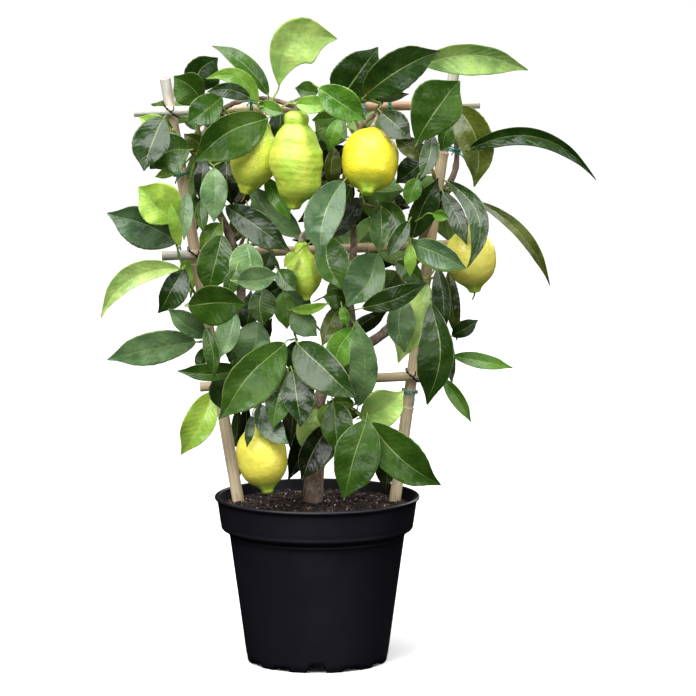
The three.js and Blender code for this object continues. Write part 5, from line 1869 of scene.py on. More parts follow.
@dataclass
class Blade:
    """A leaf's blade, with a lean towards the viewer. sign is 1 in front and -1 at the back."""

    leaf: Leaf
    number: int
    lean: float
    sign: int
    shift: float = 0.0

    FOLD = math.radians(14)
    LARGE = 52
    THICKNESS = 0.8
    STATIONS = {True: ((0.15, 0.6), (0.45, 1.0), (0.77, 0.74)), False: ((0.26, 0.88), (0.66, 0.94))}

    def stations(self) -> list[tuple[float, float, float]]:
        """Works out the plain blade's corners.

        Returns:
            Each one's share of the length and of the width, and the edges' wave there.
        """
        rows = []
        for place, (share, breadth) in enumerate(self.STATIONS[self.leaf.length > self.LARGE]):
            wave = (-1) ** place * vary(self.number * 11 + place, 0.2, 1) * self.leaf.width * 0.035
            rows.append((share ** (1 / self.leaf.late), breadth, wave))
        return rows

    def surface(self, share: Value, across: Value, half: Value, wave: Value, cup: Value = 1.0,
                fold_at: Value = 0.0) -> np.ndarray:
        """Works out places of the blade in the elevation.

        Args:
            share: shares of the length.
            across: shares of the half-width, negative to the left.
            half: the half-width there.
            wave: how far the edges wave there.
            cup: how much of the fold shows there.
            fold_at: how far right of the middle it is folded, as a share of the half-width.

        Returns:
            Rows of x, y and depth.
        """
        leaf, length = self.leaf, self.leaf.length
        ux, uy = (leaf.x1 - leaf.x0) / length, (leaf.y1 - leaf.y0) / length
        fold = math.tan(vary(self.number * 3, 0.6, 1.5) * self.FOLD)
        roll = math.tan(math.radians(leaf.turn + vary(self.number * 7, -14, 14)))
        curl = vary(self.number * 5, 0.25, 0.65)
        bow = 2 * share * (1 - share) * leaf.bend * length
        slope = 2 * (1 - 2 * share) * leaf.bend
        norm = np.hypot(1, slope)
        reach = (across + fold_at * (1 - np.abs(across))) * half
        depth = -self.sign * length * (self.lean * share + curl * 0.22 * np.sin(share * np.pi))
        depth = depth + self.sign * (-fold * np.abs(across) * half * cup + wave * across) + roll * reach
        x = mix(leaf.x0, leaf.x1, share) - uy * bow + (-uy - ux * slope) / norm * reach
        y = mix(leaf.y0, leaf.y1, share) + ux * bow + (ux - uy * slope) / norm * reach
        return np.stack(np.broadcast_arrays(x, y, depth + self.shift), axis=-1)

    def rows(self) -> np.ndarray:
        """Draws the plain blade.

        Returns:
            Its rows of left edge, rib and right edge, with its two ends.
        """
        rows = np.array([(0.0, 0.0, 0.0), *self.stations(), (1.0, 0.0, 0.0)])
        share, breadth, wave = rows.T[:, :, None]
        return self.surface(share, np.array([-1.0, 0.0, 1.0]), breadth * self.leaf.width / 2, wave)

    def samples(self) -> np.ndarray:
        """Samples the plain blade.

        Returns:
            Rows of x, y and depth.
        """
        rows, part = self.rows(), np.linspace(0, 1, 6)[:, None]
        taken = []
        for here, after in zip(rows[:-1], rows[1:]):
            for side in (0, 1):
                start = mix(here[side], here[side + 1], part)
                end = mix(after[side], after[side + 1], part)
                taken.append(mix(start[None], end[None], part[:, None]).reshape(-1, 3))
        return np.concatenate(taken)


@dataclass
class LaidShoot:
    """A shoot as it is laid: its twig in space, and its blades with where their stalks start and turn."""

    twig: np.ndarray
    radii: np.ndarray
    blades: list[tuple[Blade, np.ndarray, np.ndarray]] = field(default_factory=list)


@dataclass
class Laying:
    """Lays fruit and leaves one over another, from the branches forward and then backward.

    depths holds how deep each fruit's stalk end lies, and shoots what is laid of each shoot.
    """

    stack: Stack
    depths: dict[str, float]
    front_depth: float = -12.0
    fruit_depth: float = -10.0
    back_depth: float = 36.0
    twig_radius: float = 1.5
    twig_ahead: float = 5.0
    stalk_radius: float = 1.0
    stalk_bend: float = 3.0
    leans: tuple[float, ...] = (0.05, 0.2, 0.36, 0.52)
    lean_cost: float = 8.0
    shoots: dict[str, LaidShoot] = field(default_factory=dict)

    def lay_all(self) -> None:
        """Lays everything, by its layer: the fruit of a layer first, and the rear layers last."""
        items = [(lemon.layer, name, None) for name, lemon in LEMONS.items()]
        for name, shoot in SHOOTS.items():
            items += [(leaf.layer, name, leaf) for leaf in shoot.leaves()]
        items.sort(key=lambda item: item[0] if item[0] > 0 else 100 - item[0])
        for number, (layer, name, leaf) in enumerate(items):
            if leaf is None:
                self.lay_fruit(name)
            else:
                self.lay_leaf(name, leaf, number, layer < 0)

    def lay_fruit(self, name: str) -> None:
        """Lays a lemon clear of what lies already.

        Args:
            name: the lemon's name.
        """
        samples = LEMONS[name].samples()
        depth = self.depths[name] = self.stack.clear(samples, 0, self.fruit_depth, False)
        x, y, back, rim = samples.T
        self.stack.note(x, y, depth + back - 2 * rim, depth + back)

    def lay_twig(self, name: str, behind: bool) -> LaidShoot:
        """Lays a shoot's twig: clear of what lies already, and all at one depth past its root.

        Args:
            name: the shoot's name.
            behind: whether it grows to the back.

        Returns:
            The shoot, without leaves yet.
        """
        route = np.array(SHOOTS[name].twig, float)
        samples = []
        for here, after in zip(route[1:-1], route[2:]):
            steps = math.ceil(math.hypot(*(after - here)) / 2)
            samples += [mix(here, after, step / steps) for step in range(steps + 1)]
        samples = np.array(samples or [route[-1]])
        start = self.back_depth if behind else WOOD_DEPTH - self.twig_ahead
        samples = np.column_stack([samples, np.zeros(len(samples))])
        depth = np.full(len(route), self.stack.clear(samples, self.twig_radius, start, behind))
        depth[0] = WOOD_DEPTH
        points = SHEET.place(*route.T, depth)
        radii = self.twig_radius * np.linspace(1.25, 0.75, len(route))
        self.stack.note_bar(points, radii)
        return LaidShoot(points, radii)

    def nearest(self, twig: np.ndarray, x: float, y: float) -> np.ndarray:
        """Finds the point of a twig, past its root, that is seen nearest to a place.

        Args:
            twig: the twig's points.
            x: how far right the place is in the elevation.
            y: how far down.

        Returns:
            The point.
        """
        points = [mix(twig[i], twig[i + 1], step / 10) for i in range(len(twig) - 1) for step in range(11)]
        return min(points[6:], key=lambda point: math.dist(SHEET.seen(point), (x, y)))

    def lay_leaf(self, name: str, leaf: Leaf, number: int, behind: bool) -> None:
        """Lays a leaf clear of what lies already, leaning as little out of line as that allows.

        Args:
            name: its shoot's name.
            leaf: the leaf.
            number: its place in the laying order.
            behind: whether it goes to the back.
        """
        if name not in self.shoots:
            self.shoots[name] = self.lay_twig(name, behind)
        sign = -1 if behind else 1
        start = self.back_depth if behind else self.front_depth
        half = Blade.THICKNESS / 2
        tries = []
        for lean in self.leans:
            blade = Blade(leaf, number, lean, sign)
            blade.shift = self.stack.clear(blade.samples(), half, start, behind)
            tries.append((lean * self.lean_cost - sign * blade.shift, blade))
        blade = min(tries, key=lambda tried: tried[0])[1]
        x, y, depth = blade.samples().T
        self.stack.note(x, y, depth - half, depth + half)
        base, rib = (SHEET.place(*row[1]) for row in blade.rows()[:2])
        bend = base + unit(base - rib) * self.stalk_bend
        root = self.nearest(self.shoots[name].twig, leaf.x0, leaf.y0)
        self.stack.note_bar(np.array([root, bend, base]), [self.stalk_radius] * 3)
        self.shoots[name].blades.append((blade, root, bend))


@dataclass
class Foliage:
    """The leafy shoots, each one piece: a twig, and leaves with their stalks, ribs and waved edges."""

    shoots: dict[str, LaidShoot]
    stations: int = 36
    columns: tuple[float, ...] = (-1, -0.9, -0.72, -0.5, -0.28, -0.09, 0, 0.09, 0.28, 0.5, 0.72, 0.9, 1)
    thickness: float = 0.5
    dent_waves: int = 5
    dent_lengths: tuple[float, float] = (14.0, 30.0)
    dent_depth: float = 0.24
    uneven: float = 0.035

    def build(self) -> None:
        """Makes each shoot."""
        finishes = [UPPER_FACE.material(), UNDER_FACE.material(), YOUNG_STEM.material()]
        for name, shoot in self.shoots.items():
            skin = Skin()
            self.add_twig(skin, shoot)
            for blade, root, bend in shoot.blades:
                self.add_leaf(skin, blade, root, bend)
            seat(skin.make("leafy_" + name, finishes), "leaves", name)

    def add_twig(self, skin: Skin, shoot: LaidShoot) -> None:
        """Adds a shoot's twig, brown at its root and green at its end, with small buds' swellings.

        Args:
            skin: the shoot's skin.
            shoot: the shoot.
        """
        rows = np.column_stack([shoot.twig, shoot.radii])
        part = np.linspace(0, 0.9, 10)[:, None]
        parts = [mix(here, after, part) for here, after in zip(rows[:-1], rows[1:])]
        rows = np.concatenate([*parts, rows[-1:]])
        for _ in range(3):
            rows[1:-1] = (rows[:-2] + rows[1:-1] * 2 + rows[2:]) / 4
        radii = rows[:, 3] * (1 + 0.16 * np.cos(np.arange(len(rows)) / 7 * TURN))
        radii[-1] *= 0.4
        tint = np.linspace(paint("#7d6d4c"), paint("#7c9440"), len(rows))
        skin.tube(rows[:, :3], radii, 10, finish=2, tint=tint)

    def add_leaf(self, skin: Skin, blade: Blade, root: np.ndarray, bend: np.ndarray) -> None:
        """Adds a leaf: both faces of its blade, the rim between them, and its stalk.

        Args:
            skin: the shoot's skin.
            blade: the blade as it was laid.
            root: where its stalk leaves the twig.
            bend: where its stalk turns into the rib's line.
        """
        middle, across, share = self.shape(blade)
        rows, columns = len(share), len(across)
        along, beside = np.gradient(middle, axis=(0, 1))[:2]
        normal = unit(np.cross(along, beside))
        looks_up = float(normal[..., 1].mean()) * blade.sign <= 0
        if not looks_up:
            normal = -normal
        body = self.thickness / 2 * (1 - 0.55 * np.abs(across) ** 6)
        rib = bell(across, 0.07) * (1 - 0.6 * share)[:, None]
        lie = np.stack(np.broadcast_arrays(share[:, None], across, float(blade.number)), axis=-1)
        tint = np.array(blade.leaf.tone.value) * vary(blade.number * 19, 0.85, 1.18)
        start, first = skin.count, int(blade.leaf.is_under)
        faces_of = ((body - 0.16 * rib, first, looks_up), (-body - 0.45 * rib, 1 - first, not looks_up))
        for height, finish, flip in faces_of:
            points = middle + normal * height[..., None]
            faces = grid_faces(rows, columns, wrap_columns=False, flip=flip)
            skin.add(points.reshape(-1, 3), faces, finish, lie.reshape(-1, 3), tint)
        self.add_rim(skin, start, rows, columns, looks_up, first)
        line = flowing(np.array([root, mix(root, bend, 0.55), bend, *middle[(0, 2), columns // 2]]), 1.2)
        tint = np.array(paint("#8aa348")) * vary(blade.number, 0.8, 1.15)
        skin.tube(line, np.linspace(1.15, 0.62, len(line)), 9, finish=2, tint=tint)

    def shape(self, blade: Blade) -> tuple[np.ndarray, np.ndarray, np.ndarray]:
        """Shapes a blade's middle surface: its outline, cup, waves and quilting.

        Args:
            blade: the blade as it was laid.

        Returns:
            The surface's points by row and column, the columns' shares of the half-width, and the
            rows' shares of the length.
        """
        leaf, number = blade.leaf, blade.number
        even = np.linspace(0, 1, self.stations)
        shares = mix(even, 0.5 - 0.5 * np.cos(even * math.pi), 0.45)
        across = np.array(self.columns, float)
        knots, _, waves = zip((0.0, 0.0, 0.0), *blade.stations(), (1.0, 0.0, 0.0))
        wave = np.pad(np.interp(shares, knots, waves), 3, mode="edge")
        wave = np.convolve(wave, np.ones(7) / 7, mode="valid")[:, None]
        share, side = shares[:, None], np.abs(across)
        swell = np.sin(np.pi * share)
        half = self.breadth(share, leaf) * leaf.width / 2
        half = half * (1 + self.uneven * np.sin(TURN * 1.3 * share + number + 2 * np.sign(across)))
        fold_at = vary(number * 29, -0.3, 0.3) * swell
        drawn = blade.surface(share, across, half, wave, 0.45 + 0.55 * side, fold_at)
        phase = vary(number * 17, 1.7, 3.2) * share + vary(number * 23, 0, 1) + 0.37 * (across > 0)
        ripple = vary(number * 13, 0.3, 1.0) * min(0.03 * leaf.width, 1.0)
        ripple = ripple * side**2 * np.sin(TURN * phase) + self.dents(drawn, number)
        pleats = max(6, round(leaf.length / 7))
        quilt = 0.05 * np.cos(TURN * pleats * (share - 0.2 * side)) * side * (1 - side**4)
        x, y, depth = np.moveaxis(drawn, -1, 0)
        middle = SHEET.place(x, y, depth + ripple * np.maximum(swell, 0) ** 0.5 + quilt * swell)
        return middle, across, shares

    def breadth(self, share: np.ndarray, leaf: Leaf) -> np.ndarray:
        """Draws a leaf's outline: widest a little below the middle, with a drawn-out tip.

        Args:
            share: shares of the length.
            leaf: the leaf.

        Returns:
            The half-width as a share of the greatest.
        """
        place = np.clip(share, 1e-4, 1 - 1e-4) ** (0.87 * leaf.late)
        outline = np.sin(np.pi * place) ** 0.74 * (1 - 0.5 * ease(share, 0.72, 1.0))
        return outline * (1 + 0.014 * np.sin(share * leaf.length / 4.6 * TURN)) + 0.55 / leaf.width

    def dents(self, drawn: np.ndarray, number: int) -> np.ndarray:
        """Works out the broad, shallow dents of a blade, as the sum of waves that cross it.

        Args:
            drawn: the blade's places in the elevation.
            number: the leaf's number, which its dents vary with.

        Returns:
            How far each place is dented.
        """
        depth = np.zeros(drawn.shape[:-1])
        for wave in range(self.dent_waves):
            turn, start = (vary(number * prime + wave, 0, TURN) for prime in (31, 37))
            length = vary(number * 41 + wave, *self.dent_lengths)
            across = drawn[..., 0] * math.cos(turn) + drawn[..., 1] * math.sin(turn)
            depth += self.dent_depth * np.sin(across / length * TURN + start)
        return depth

    def add_rim(self, skin: Skin, start: int, rows: int, columns: int, flip: bool, finish: int) -> None:
        """Closes a blade between its two faces.

        Args:
            skin: the shoot's skin.
            start: the number of the upper face's first point.
            rows: how many rows each face has.
            columns: how many columns.
            flip: whether the upper face looks the other way.
            finish: the rim's finish.
        """
        grid = start + np.arange(rows * columns).reshape(rows, columns)
        edge = np.concatenate([grid[:, 0], grid[-1, 1:], grid[-2::-1, -1], grid[0, -2:0:-1]]).tolist()
        under, pairs = rows * columns, zip(edge, edge[1:] + edge[:1])
        faces = [(here, after, after + under, here + under) for here, after in pairs]
        skin.join([face[::-1] for face in faces] if flip else faces, finish)


BLACKISH_SHADE, DARK, BLUE, OLIVE, MID, PAINTED_SHEEN, RICH, FRESH, LIME, PALE = Tone
# Each row holds a leaf's values, in the order of Leaf's fields.
SHOOTS = {
    "shoot_crown_left": Shoot(((271, 100), (270, 106), (272, 114)), (
        (268, 95, 212, 46, 18, 2, MID, 0.22, 20), (257, 104, 206, 79, 17, 4, FRESH, 0.55, 10),
        (250, 98, 207, 92, 16, 5, DARK, 0.2), (268, 118, 193, 162, 44, 6, MID, 0.05),
        (258, 104, 284, 113, 15, 3, RICH), (279, 86, 337, 39, 48, 2, PALE, -0.58, 20, False, 1.5),
    )),
    "shoot_crown_middle": Shoot(((286, 105), (294, 101), (317, 91)), (
        (296, 104, 331, 105, 18, 5, FRESH), (318, 92, 295, 88, 18, 2, MID),
        (319, 88, 366, 120, 32, 5, RICH), (281, 110, 274, 148, 20, 1, DARK),
    )),
    "shoot_corner": Shoot(((202, 148), (197, 122), (201, 101), (212, 95)), (
        (196, 92, 218, 58, 36, 2, DARK, -0.2), (202, 100, 174, 76, 34, 3, MID),
        (222, 97, 187, 124, 30, 4, MID), (229, 119, 201, 124, 16, 1, DARK),
    )),
    "shoot_left_top": Shoot(((203, 164), (191, 152), (172, 128)), (
        (164, 118, 144, 171, 36, 4, DARK, 0.14), (190, 150, 150, 169, 42, 3, MID, 0.25),
        (178, 169, 155, 177, 10, 2, FRESH), (187, 192, 184, 240, 15, 3, PAINTED_SHEEN),
        (170, 130, 139, 117, 18, 1, FRESH), (203, 150, 184, 134, 18, 1, OLIVE),
        (196, 158, 192, 200, 14, -4, DARK, 0, 0, True), (196, 196, 192, 238, 14, -4, MID, 0, 0, True),
    )),
    "shoot_left_inner": Shoot(((225, 226), (220, 210), (216, 185), (213, 166)), (
        (222, 235, 207, 294, 36, 5, MID), (220, 223, 200, 250, 20, 1, FRESH),
        (226, 206, 290, 251, 30, 5, DARK), (204, 160, 200, 201, 17, 3, BLACKISH_SHADE),
        (214, 168, 214, 222, 27, 5, PAINTED_SHEEN), (226, 163, 232, 206, 20, 1, BLACKISH_SHADE),
        (200, 201, 203, 232, 13, 1, MID),
    )),
    "shoot_under_fruit": Shoot(((230, 240), (246, 228), (252, 206), (254, 192), (266, 180)), (
        (251, 188, 306, 240, 26, 2, PAINTED_SHEEN, 0.08), (266, 178, 291, 221, 18, 3, RICH),
        (250, 184, 234, 206, 18, -4, BLACKISH_SHADE, 0, 0, True),
        (244, 206, 232, 246, 18, -4, DARK, 0, 0, True),
    )),
    "shoot_left_long": Shoot(((241, 300), (216, 308), (197, 297), (187, 279), (180, 259), (176, 242)), (
        (184, 268, 158, 313, 27, 2, DARK, -0.12), (180, 269, 101, 318, 22, 4, PALE, 0.41),
        (178, 241, 107, 213, 40, 2, BLUE), (174, 222, 138, 187, 44, 4, LIME, 0.1),
        (180, 246, 171, 203, 12, 5, LIME, -0.05), (188, 306, 246, 304, 40, 7, MID),
        (190, 292, 186, 250, 16, -4, FRESH, 0, 0, True),
    )),
    "shoot_left_low": Shoot(((249, 330), (230, 344), (212, 340), (198, 342)), (
        (196, 342, 107, 360, 33, 3, PAINTED_SHEEN, 0.06), (206, 337, 168, 309, 22, 5, PAINTED_SHEEN),
        (207, 327, 215, 378, 15, 5, MID), (212, 392, 181, 455, 31, 3, LIME, -0.05),
        (235, 313, 218, 359, 24, 4, PAINTED_SHEEN), (237, 342, 229, 362, 14, 2, DARK),
        (232, 372, 224, 412, 30, 3, DARK, 0.2), (243, 369, 177, 371, 18, 4, MID, -0.06),
        (258, 322, 244, 370, 36, 3, PAINTED_SHEEN), (246, 332, 251, 290, 18, 1, DARK),
        (204, 348, 198, 370, 12, -4, MID, 0, 0, True), (252, 352, 272, 318, 16, -4, DARK, 0, 0, True),
    )),
    "shoot_hanging": Shoot((
        (239, 248), (256, 244), (271, 250), (278, 266), (284, 290), (290, 312), (294, 332), (297, 340),
    ), (
        (247, 243, 244, 291, 34, 5, PAINTED_SHEEN), (237, 281, 279, 275, 24, 6, PAINTED_SHEEN),
        (278, 270, 296, 291, 21, 4, MID), (262, 288, 263, 326, 28, 4, MID),
        (283, 292, 287, 329, 22, 3, RICH), (284, 289, 313, 311, 20, 2, PAINTED_SHEEN),
        (291, 313, 317, 336, 25, 3, PAINTED_SHEEN), (292, 310, 329, 303, 10, 6, FRESH, 0.12),
        (285, 343, 219, 419, 46, 5, MID), (297, 343, 357, 398, 40, 7, DARK, 0.1, 0, False, 0.85),
        (236, 270, 227, 297, 16, 5, MID), (271, 252, 263, 276, 18, 1, MID),
        (283, 286, 262, 296, 20, 1, DARK), (296, 341, 292, 374, 20, 1, DARK),
    )),
    "shoot_low_middle": Shoot(((298, 390), (291, 374)), (
        (292, 370, 300, 427, 32, 5, DARK, -0.12), (288, 371, 272, 429, 28, 4, MID),
        (259, 404, 289, 444, 24, 3, BLUE, 0.18), (252, 416, 247, 447, 9, 3, DARK),
        (294, 380, 290, 448, 20, 1, BLACKISH_SHADE),
    )),
    "shoot_low_right": Shoot(((315, 420), (322, 408), (333, 402), (350, 408), (364, 419)), (
        (333, 402, 337, 455, 32, 4, MID, -0.1), (358, 406, 356, 321, 28, 5, PAINTED_SHEEN, 0.15),
        (360, 418, 403, 391, 38, 5, PALE, 0.15), (366, 420, 343, 499, 46, 6, MID, -0.04),
        (371, 423, 441, 485, 42, 5, MID, 0.14), (330, 424, 301, 481, 30, 3, BLACKISH_SHADE),
        (318, 409, 306, 456, 32, 2, PALE), (327, 404, 322, 427, 14, 3, FRESH),
        (354, 403, 328, 402, 14, 3, MID), (306, 421, 288, 480, 21, 1, BLACKISH_SHADE, -0.1),
        (385, 436, 386, 492, 22, 1, BLACKISH_SHADE),
    )),
    "shoot_top_right": Shoot(((376, 112), (384, 98), (404, 84), (422, 65)), (
        (364, 97, 440, 51, 40, 3, DARK, -0.12), (374, 99, 409, 94, 10, 1, DARK),
        (381, 112, 411, 139, 26, 5, DARK), (422, 64, 528, 70, 31, 1, PALE, -0.14, 20, True),
    )),
    "shoot_top_middle": Shoot(((360, 130), (350, 108), (344, 100)), (
        (341, 99, 378, 47, 48, 2, DARK, 0, 0, False, 0.75), (338, 118, 312, 120, 16, 3, MID),
        (339, 119, 328, 152, 15, 4, RICH), (334, 148, 332, 191, 16, 1, OLIVE),
    )),
    "shoot_fruit_right": Shoot(((441, 197), (431, 166), (419, 146), (400, 140)), (
        (417, 143, 460, 81, 52, 6, MID, -0.12, 0, False, 1.4), (396, 138, 431, 160, 20, 4, OLIVE),
        (428, 157, 396, 183, 28, 3, DARK), (417, 178, 407, 205, 18, 4, RICH),
        (431, 133, 420, 179, 18, 4, DARK, -0.15),
    )),
    "shoot_right_top": Shoot(((456, 142), (462, 130), (468, 146)), (
        (470, 149, 596, 180, 18, 3, DARK, -0.41, 0, False, 0.75),
        (457, 108, 474, 187, 36, 2, OLIVE, -0.28, 0, False, 0.8), (455, 117, 441, 151, 20, 1, MID),
    )),
    "shoot_right_arch": Shoot(((448, 184), (462, 196), (474, 203)), (
        (478, 202, 550, 286, 13, 1, OLIVE, -0.23), (446, 181, 467, 268, 20, 5, DARK, -0.5),
        (443, 192, 467, 245, 18, 4, DARK, -0.05), (446, 190, 431, 214, 13, 3, BLACKISH_SHADE),
    )),
    "shoot_right_inner": Shoot(((414, 262), (412, 243), (410, 224)), (
        (411, 243, 466, 268, 26, 5, BLUE), (414, 254, 466, 269, 16, 4, FRESH, 0.05),
        (410, 244, 410, 277, 12, 6, FRESH), (409, 221, 387, 258, 16, 6, DARK),
        (412, 238, 438, 178, 26, 3, DARK), (396, 262, 424, 283, 20, 2, MID),
        (433, 214, 449, 218, 11, 4, RICH),
    )),
    "shoot_middle": Shoot(((351, 220), (364, 204), (378, 208), (381, 232), (378, 250)), (
        (378, 203, 399, 239, 30, 4, MID, -0.1), (381, 209, 379, 253, 20, 5, MID),
        (378, 254, 347, 307, 42, 4, PAINTED_SHEEN), (360, 198, 328, 240, 24, 3, BLACKISH_SHADE),
    )),
    "shoot_middle_top": Shoot(((346, 186), (338, 200), (328, 230)), (
        (344, 181, 322, 257, 37, 6, BLUE, 0.26), (326, 236, 341, 289, 34, 4, MID, 0.05),
        (350, 186, 341, 207, 13, 3, DARK), (297, 253, 284, 267, 13, 5, LIME),
    )),
    "shoot_middle_low": Shoot(((351, 320), (346, 306)), (
        (353, 328, 331, 372, 32, 4, RICH), (341, 305, 322, 346, 20, 3, OLIVE),
        (342, 307, 347, 326, 10, 5, RICH), (347, 299, 323, 297, 20, 3, MID),
        (362, 308, 427, 283, 22, 4, DARK, 0.06),
    )),
    "shoot_right_low": Shoot(((411, 286), (426, 282), (434, 298)), (
        (427, 284, 398, 363, 34, 2, PALE), (404, 297, 405, 352, 28, 3, PAINTED_SHEEN, 0.13),
        (431, 303, 427, 405, 36, 5, DARK, -0.12, 0, False, 1.2), (438, 268, 445, 332, 18, 2, DARK),
        (449, 270, 457, 341, 14, 1, OLIVE), (429, 334, 424, 371, 10, 2, DARK),
    )),
    "shoot_right_side": Shoot(((409, 296), (430, 318), (446, 338), (449, 368)), (
        (452, 336, 478, 320, 16, 1, DARK), (453, 356, 513, 368, 15, 1, RICH, -0.03),
        (443, 379, 471, 422, 14, 1, RICH, -0.05), (447, 336, 452, 384, 12, -4, DARK, 0, 0, True),
    )),
    "rear_left_top": Shoot(((205, 139), (198, 130), (192, 138)), (
        (200, 133, 243, 158, 30, -1, MID), (194, 138, 248, 178, 26, -2, DARK),
        (196, 130, 191, 97, 24, -2, MID), (193, 118, 151, 104, 22, -1, DARK),
        (198, 150, 190, 205, 18, -1, DARK),
    )),
    "rear_top": Shoot(((351, 150), (356, 136), (362, 124)), (
        (361, 124, 402, 128, 30, -1, DARK), (359, 130, 392, 168, 32, -2, MID),
        (354, 136, 374, 84, 32, -2, MID), (346, 140, 314, 118, 30, -1, DARK),
        (344, 146, 318, 182, 30, -2, BLACKISH_SHADE, 0, 0, True),
        (346, 126, 318, 112, 18, -4, BLACKISH_SHADE, 0, 0, True),
        (328, 130, 313, 152, 20, -4, BLACKISH_SHADE, 0, 0, True),
        (372, 126, 408, 122, 22, -4, DARK, 0, 0, True),
    )),
    "rear_fruit": Shoot(((347, 190), (356, 184), (362, 190)), (
        (361, 188, 404, 190, 34, -1, DARK), (360, 192, 398, 216, 30, -2, MID),
        (352, 182, 318, 214, 34, -1, BLACKISH_SHADE, 0, 0, True),
        (372, 194, 410, 208, 22, -4, BLACKISH_SHADE, 0, 0, True),
        (346, 188, 302, 196, 26, -4, DARK, 0, 0, True),
        (344, 196, 298, 222, 22, -4, BLACKISH_SHADE, 0, 0, True),
        (366, 198, 356, 230, 18, -4, DARK, 0, 0, True),
    )),
    "rear_right_top": Shoot(((450, 180), (453, 186), (446, 198)), (
        (446, 204, 449, 242, 26, -1, DARK), (441, 197, 415, 178, 26, -2, DARK),
    )),
    "rear_middle": Shoot(((350, 288), (352, 270), (350, 250)), (
        (350, 262, 386, 294, 34, -1, MID), (350, 256, 306, 264, 30, -1, DARK),
        (352, 249, 388, 216, 28, -2, RICH), (349, 250, 328, 206, 30, -2, MID),
        (352, 270, 332, 314, 30, -3, MID), (346, 236, 292, 240, 18, -4, BLACKISH_SHADE, 0, 0, True),
        (362, 256, 396, 264, 16, -4, DARK, 0, 0, True),
    )),
    "rear_right": Shoot(((409, 290), (400, 276), (396, 262)), (
        (398, 272, 373, 299, 30, -1, DARK), (396, 264, 424, 240, 28, -1, MID),
        (400, 276, 420, 310, 28, -2, MID), (397, 264, 382, 228, 26, -2, RICH),
    )),
    "rear_left_low": Shoot(((264, 351), (262, 362), (252, 370), (248, 398)), (
        (256, 368, 224, 400, 34, -1, DARK), (260, 364, 291, 397, 30, -1, MID),
        (253, 369, 230, 342, 28, -2, MID), (247, 404, 240, 476, 14, -1, BLACKISH_SHADE, 0, 0, True),
        (258, 372, 244, 412, 26, -2, DARK), (238, 408, 234, 450, 10, -4, DARK, 0, 0, True),
    )),
    "rear_middle_low": Shoot(((344, 361), (337, 352), (343, 343)), (
        (338, 353, 317, 384, 30, -1, MID), (342, 344, 326, 314, 26, -2, DARK),
        (338, 350, 360, 386, 32, -2, MID), (346, 336, 388, 310, 16, -4, DARK, 0, 0, True),
    )),
    "rear_low": Shoot(((322, 404), (325, 414), (321, 424)), (
        (322, 421, 301, 460, 32, -1, DARK), (324, 416, 352, 452, 34, -1, MID),
        (321, 423, 322, 470, 30, -2, MID), (334, 412, 362, 414, 14, -4, MID, 0, 0, True),
    )),
}


# ---------------- studio


@dataclass(frozen=True)
class Softbox:
    """A large soft light: where it stands, its size, its power and what it points at."""

    name: str
    place: tuple[float, float, float]
    size: tuple[float, float]
    power: float
    target: tuple[float, float, float] = (0.03, 0.0, 0.35)


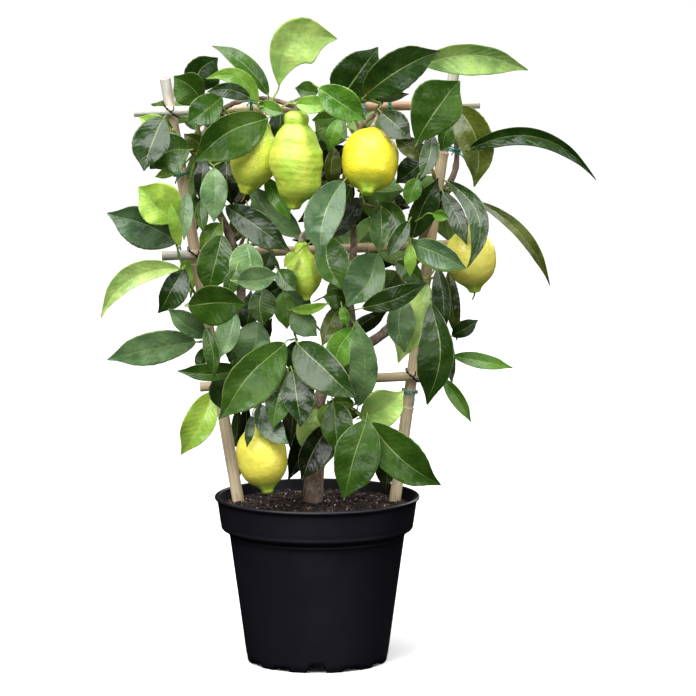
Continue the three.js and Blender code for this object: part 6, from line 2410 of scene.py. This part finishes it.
@dataclass
class Studio:
    """The pale floor, the soft lights and the camera."""

    floor_reach: float = 60.0
    sky: float = 0.05
    sun: float = 3.6
    sun_from: tuple[float, float, float] = (-0.15, -0.3, 1.3)
    sun_spread: float = 80.0
    sensor: float = 36.0
    softboxes: tuple[Softbox, ...] = (
        Softbox("key_front_left", (-1.7, -2.2, 2.1), (1.9, 1.7), 60.0),
        Softbox("fill_front_right", (2.2, -1.9, 1.3), (1.2, 1.9), 26.0),
        Softbox("low_front", (-0.1, -2.6, 0.3), (1.6, 0.5), 9.0),
        Softbox("top", (-0.2, -0.9, 2.5), (2.2, 1.8), 60.0),
        Softbox("back_right", (1.6, 2.4, 1.5), (1.4, 1.6), 34.0),
    )

    def build(self) -> None:
        """Makes the studio."""
        self.lay_floor()
        for softbox in self.softboxes:
            light = bpy.data.lights.new(softbox.name, "AREA")
            light.shape = "RECTANGLE"
            light.size, light.size_y = softbox.size
            light.energy = softbox.power
            self.hang(light, softbox.place, Vector(softbox.target) - Vector(softbox.place))
        self.light_room()
        self.set_camera()

    def lay_floor(self) -> None:
        """Lays the floor, far past the camera's view."""
        reach = self.floor_reach
        mesh = bpy.data.meshes.new("studio_floor")
        corners = [(-reach, -reach, 0), (reach, -reach, 0), (reach, reach, 0), (-reach, reach, 0)]
        mesh.from_pydata(corners, [], [(0, 1, 2, 3)])
        mesh.materials.append(STUDIO_FLOOR.material())
        floor = bpy.data.objects.new("studio_floor", mesh)
        bpy.context.scene.collection.objects.link(floor)
        floor.visible_glossy = False
        floor.visible_diffuse = False

    def hang(self, light: bpy.types.Light, place: Numbers, aim: Vector) -> None:
        """Hangs a light.

        Args:
            light: the light.
            place: where it hangs.
            aim: the way that it points.
        """
        lamp = bpy.data.objects.new(light.name, light)
        lamp.location = place
        lamp.rotation_euler = aim.to_track_quat("-Z", "Y").to_euler()
        bpy.context.scene.collection.objects.link(lamp)

    def light_room(self) -> None:
        """Lights the whole floor evenly, by a wide soft sun and a white room."""
        sun = bpy.data.lights.new("even_light", "SUN")
        sun.energy = self.sun
        sun.angle = math.radians(self.sun_spread)
        self.hang(sun, (0, 0, 0), -Vector(self.sun_from))
        world = bpy.data.worlds.new("white_room")
        world.use_nodes = True
        background = world.node_tree.nodes["Background"]
        background.inputs["Color"].default_value = (1, 1, 1, 1)
        background.inputs["Strength"].default_value = self.sky
        bpy.context.scene.world = world
        world.cycles_visibility.glossy = False
        bpy.context.scene.view_settings.view_transform = "Standard"

    def set_camera(self) -> None:
        """Sets the camera so that its picture is the elevation."""
        lens = bpy.data.cameras.new("camera")
        lens.sensor_width = self.sensor
        lens.lens = self.sensor * SHEET.distance / (SHEET.middle * 2)
        lens.clip_start, lens.clip_end = 0.1, 500.0
        centre = SHEET.place(SHEET.middle, SHEET.middle, 0.0)
        away = np.array([0.0, -math.cos(SHEET.tilt), math.sin(SHEET.tilt)])
        camera = bpy.data.objects.new("camera", lens)
        camera.location = (centre + away * SHEET.distance) * MM
        camera.rotation_euler = (math.pi / 2 - SHEET.tilt, 0.0, 0.0)
        bpy.context.scene.collection.objects.link(camera)
        bpy.context.scene.camera = camera


# ---------------- the whole


def main() -> None:
    """Builds the tree and its studio, in order."""
    logging.basicConfig(level=logging.INFO, format="%(name)s: %(message)s")
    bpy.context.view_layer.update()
    Studio().build()
    stack, depths = Stack(), {}
    wood = Wood(stack, depths)
    trellis = Trellis(stack)
    wood.note_stems()
    trellis.note_canes()
    trellis.note_cords()
    laying = Laying(stack, depths)
    laying.lay_all()
    pot = Pot()
    pot.build()
    Soil(pot).build()
    trellis.build()
    Fruit(depths).build()
    wood.build()
    Foliage(laying.shoots).build()


if __name__ == "__main__":
    main()
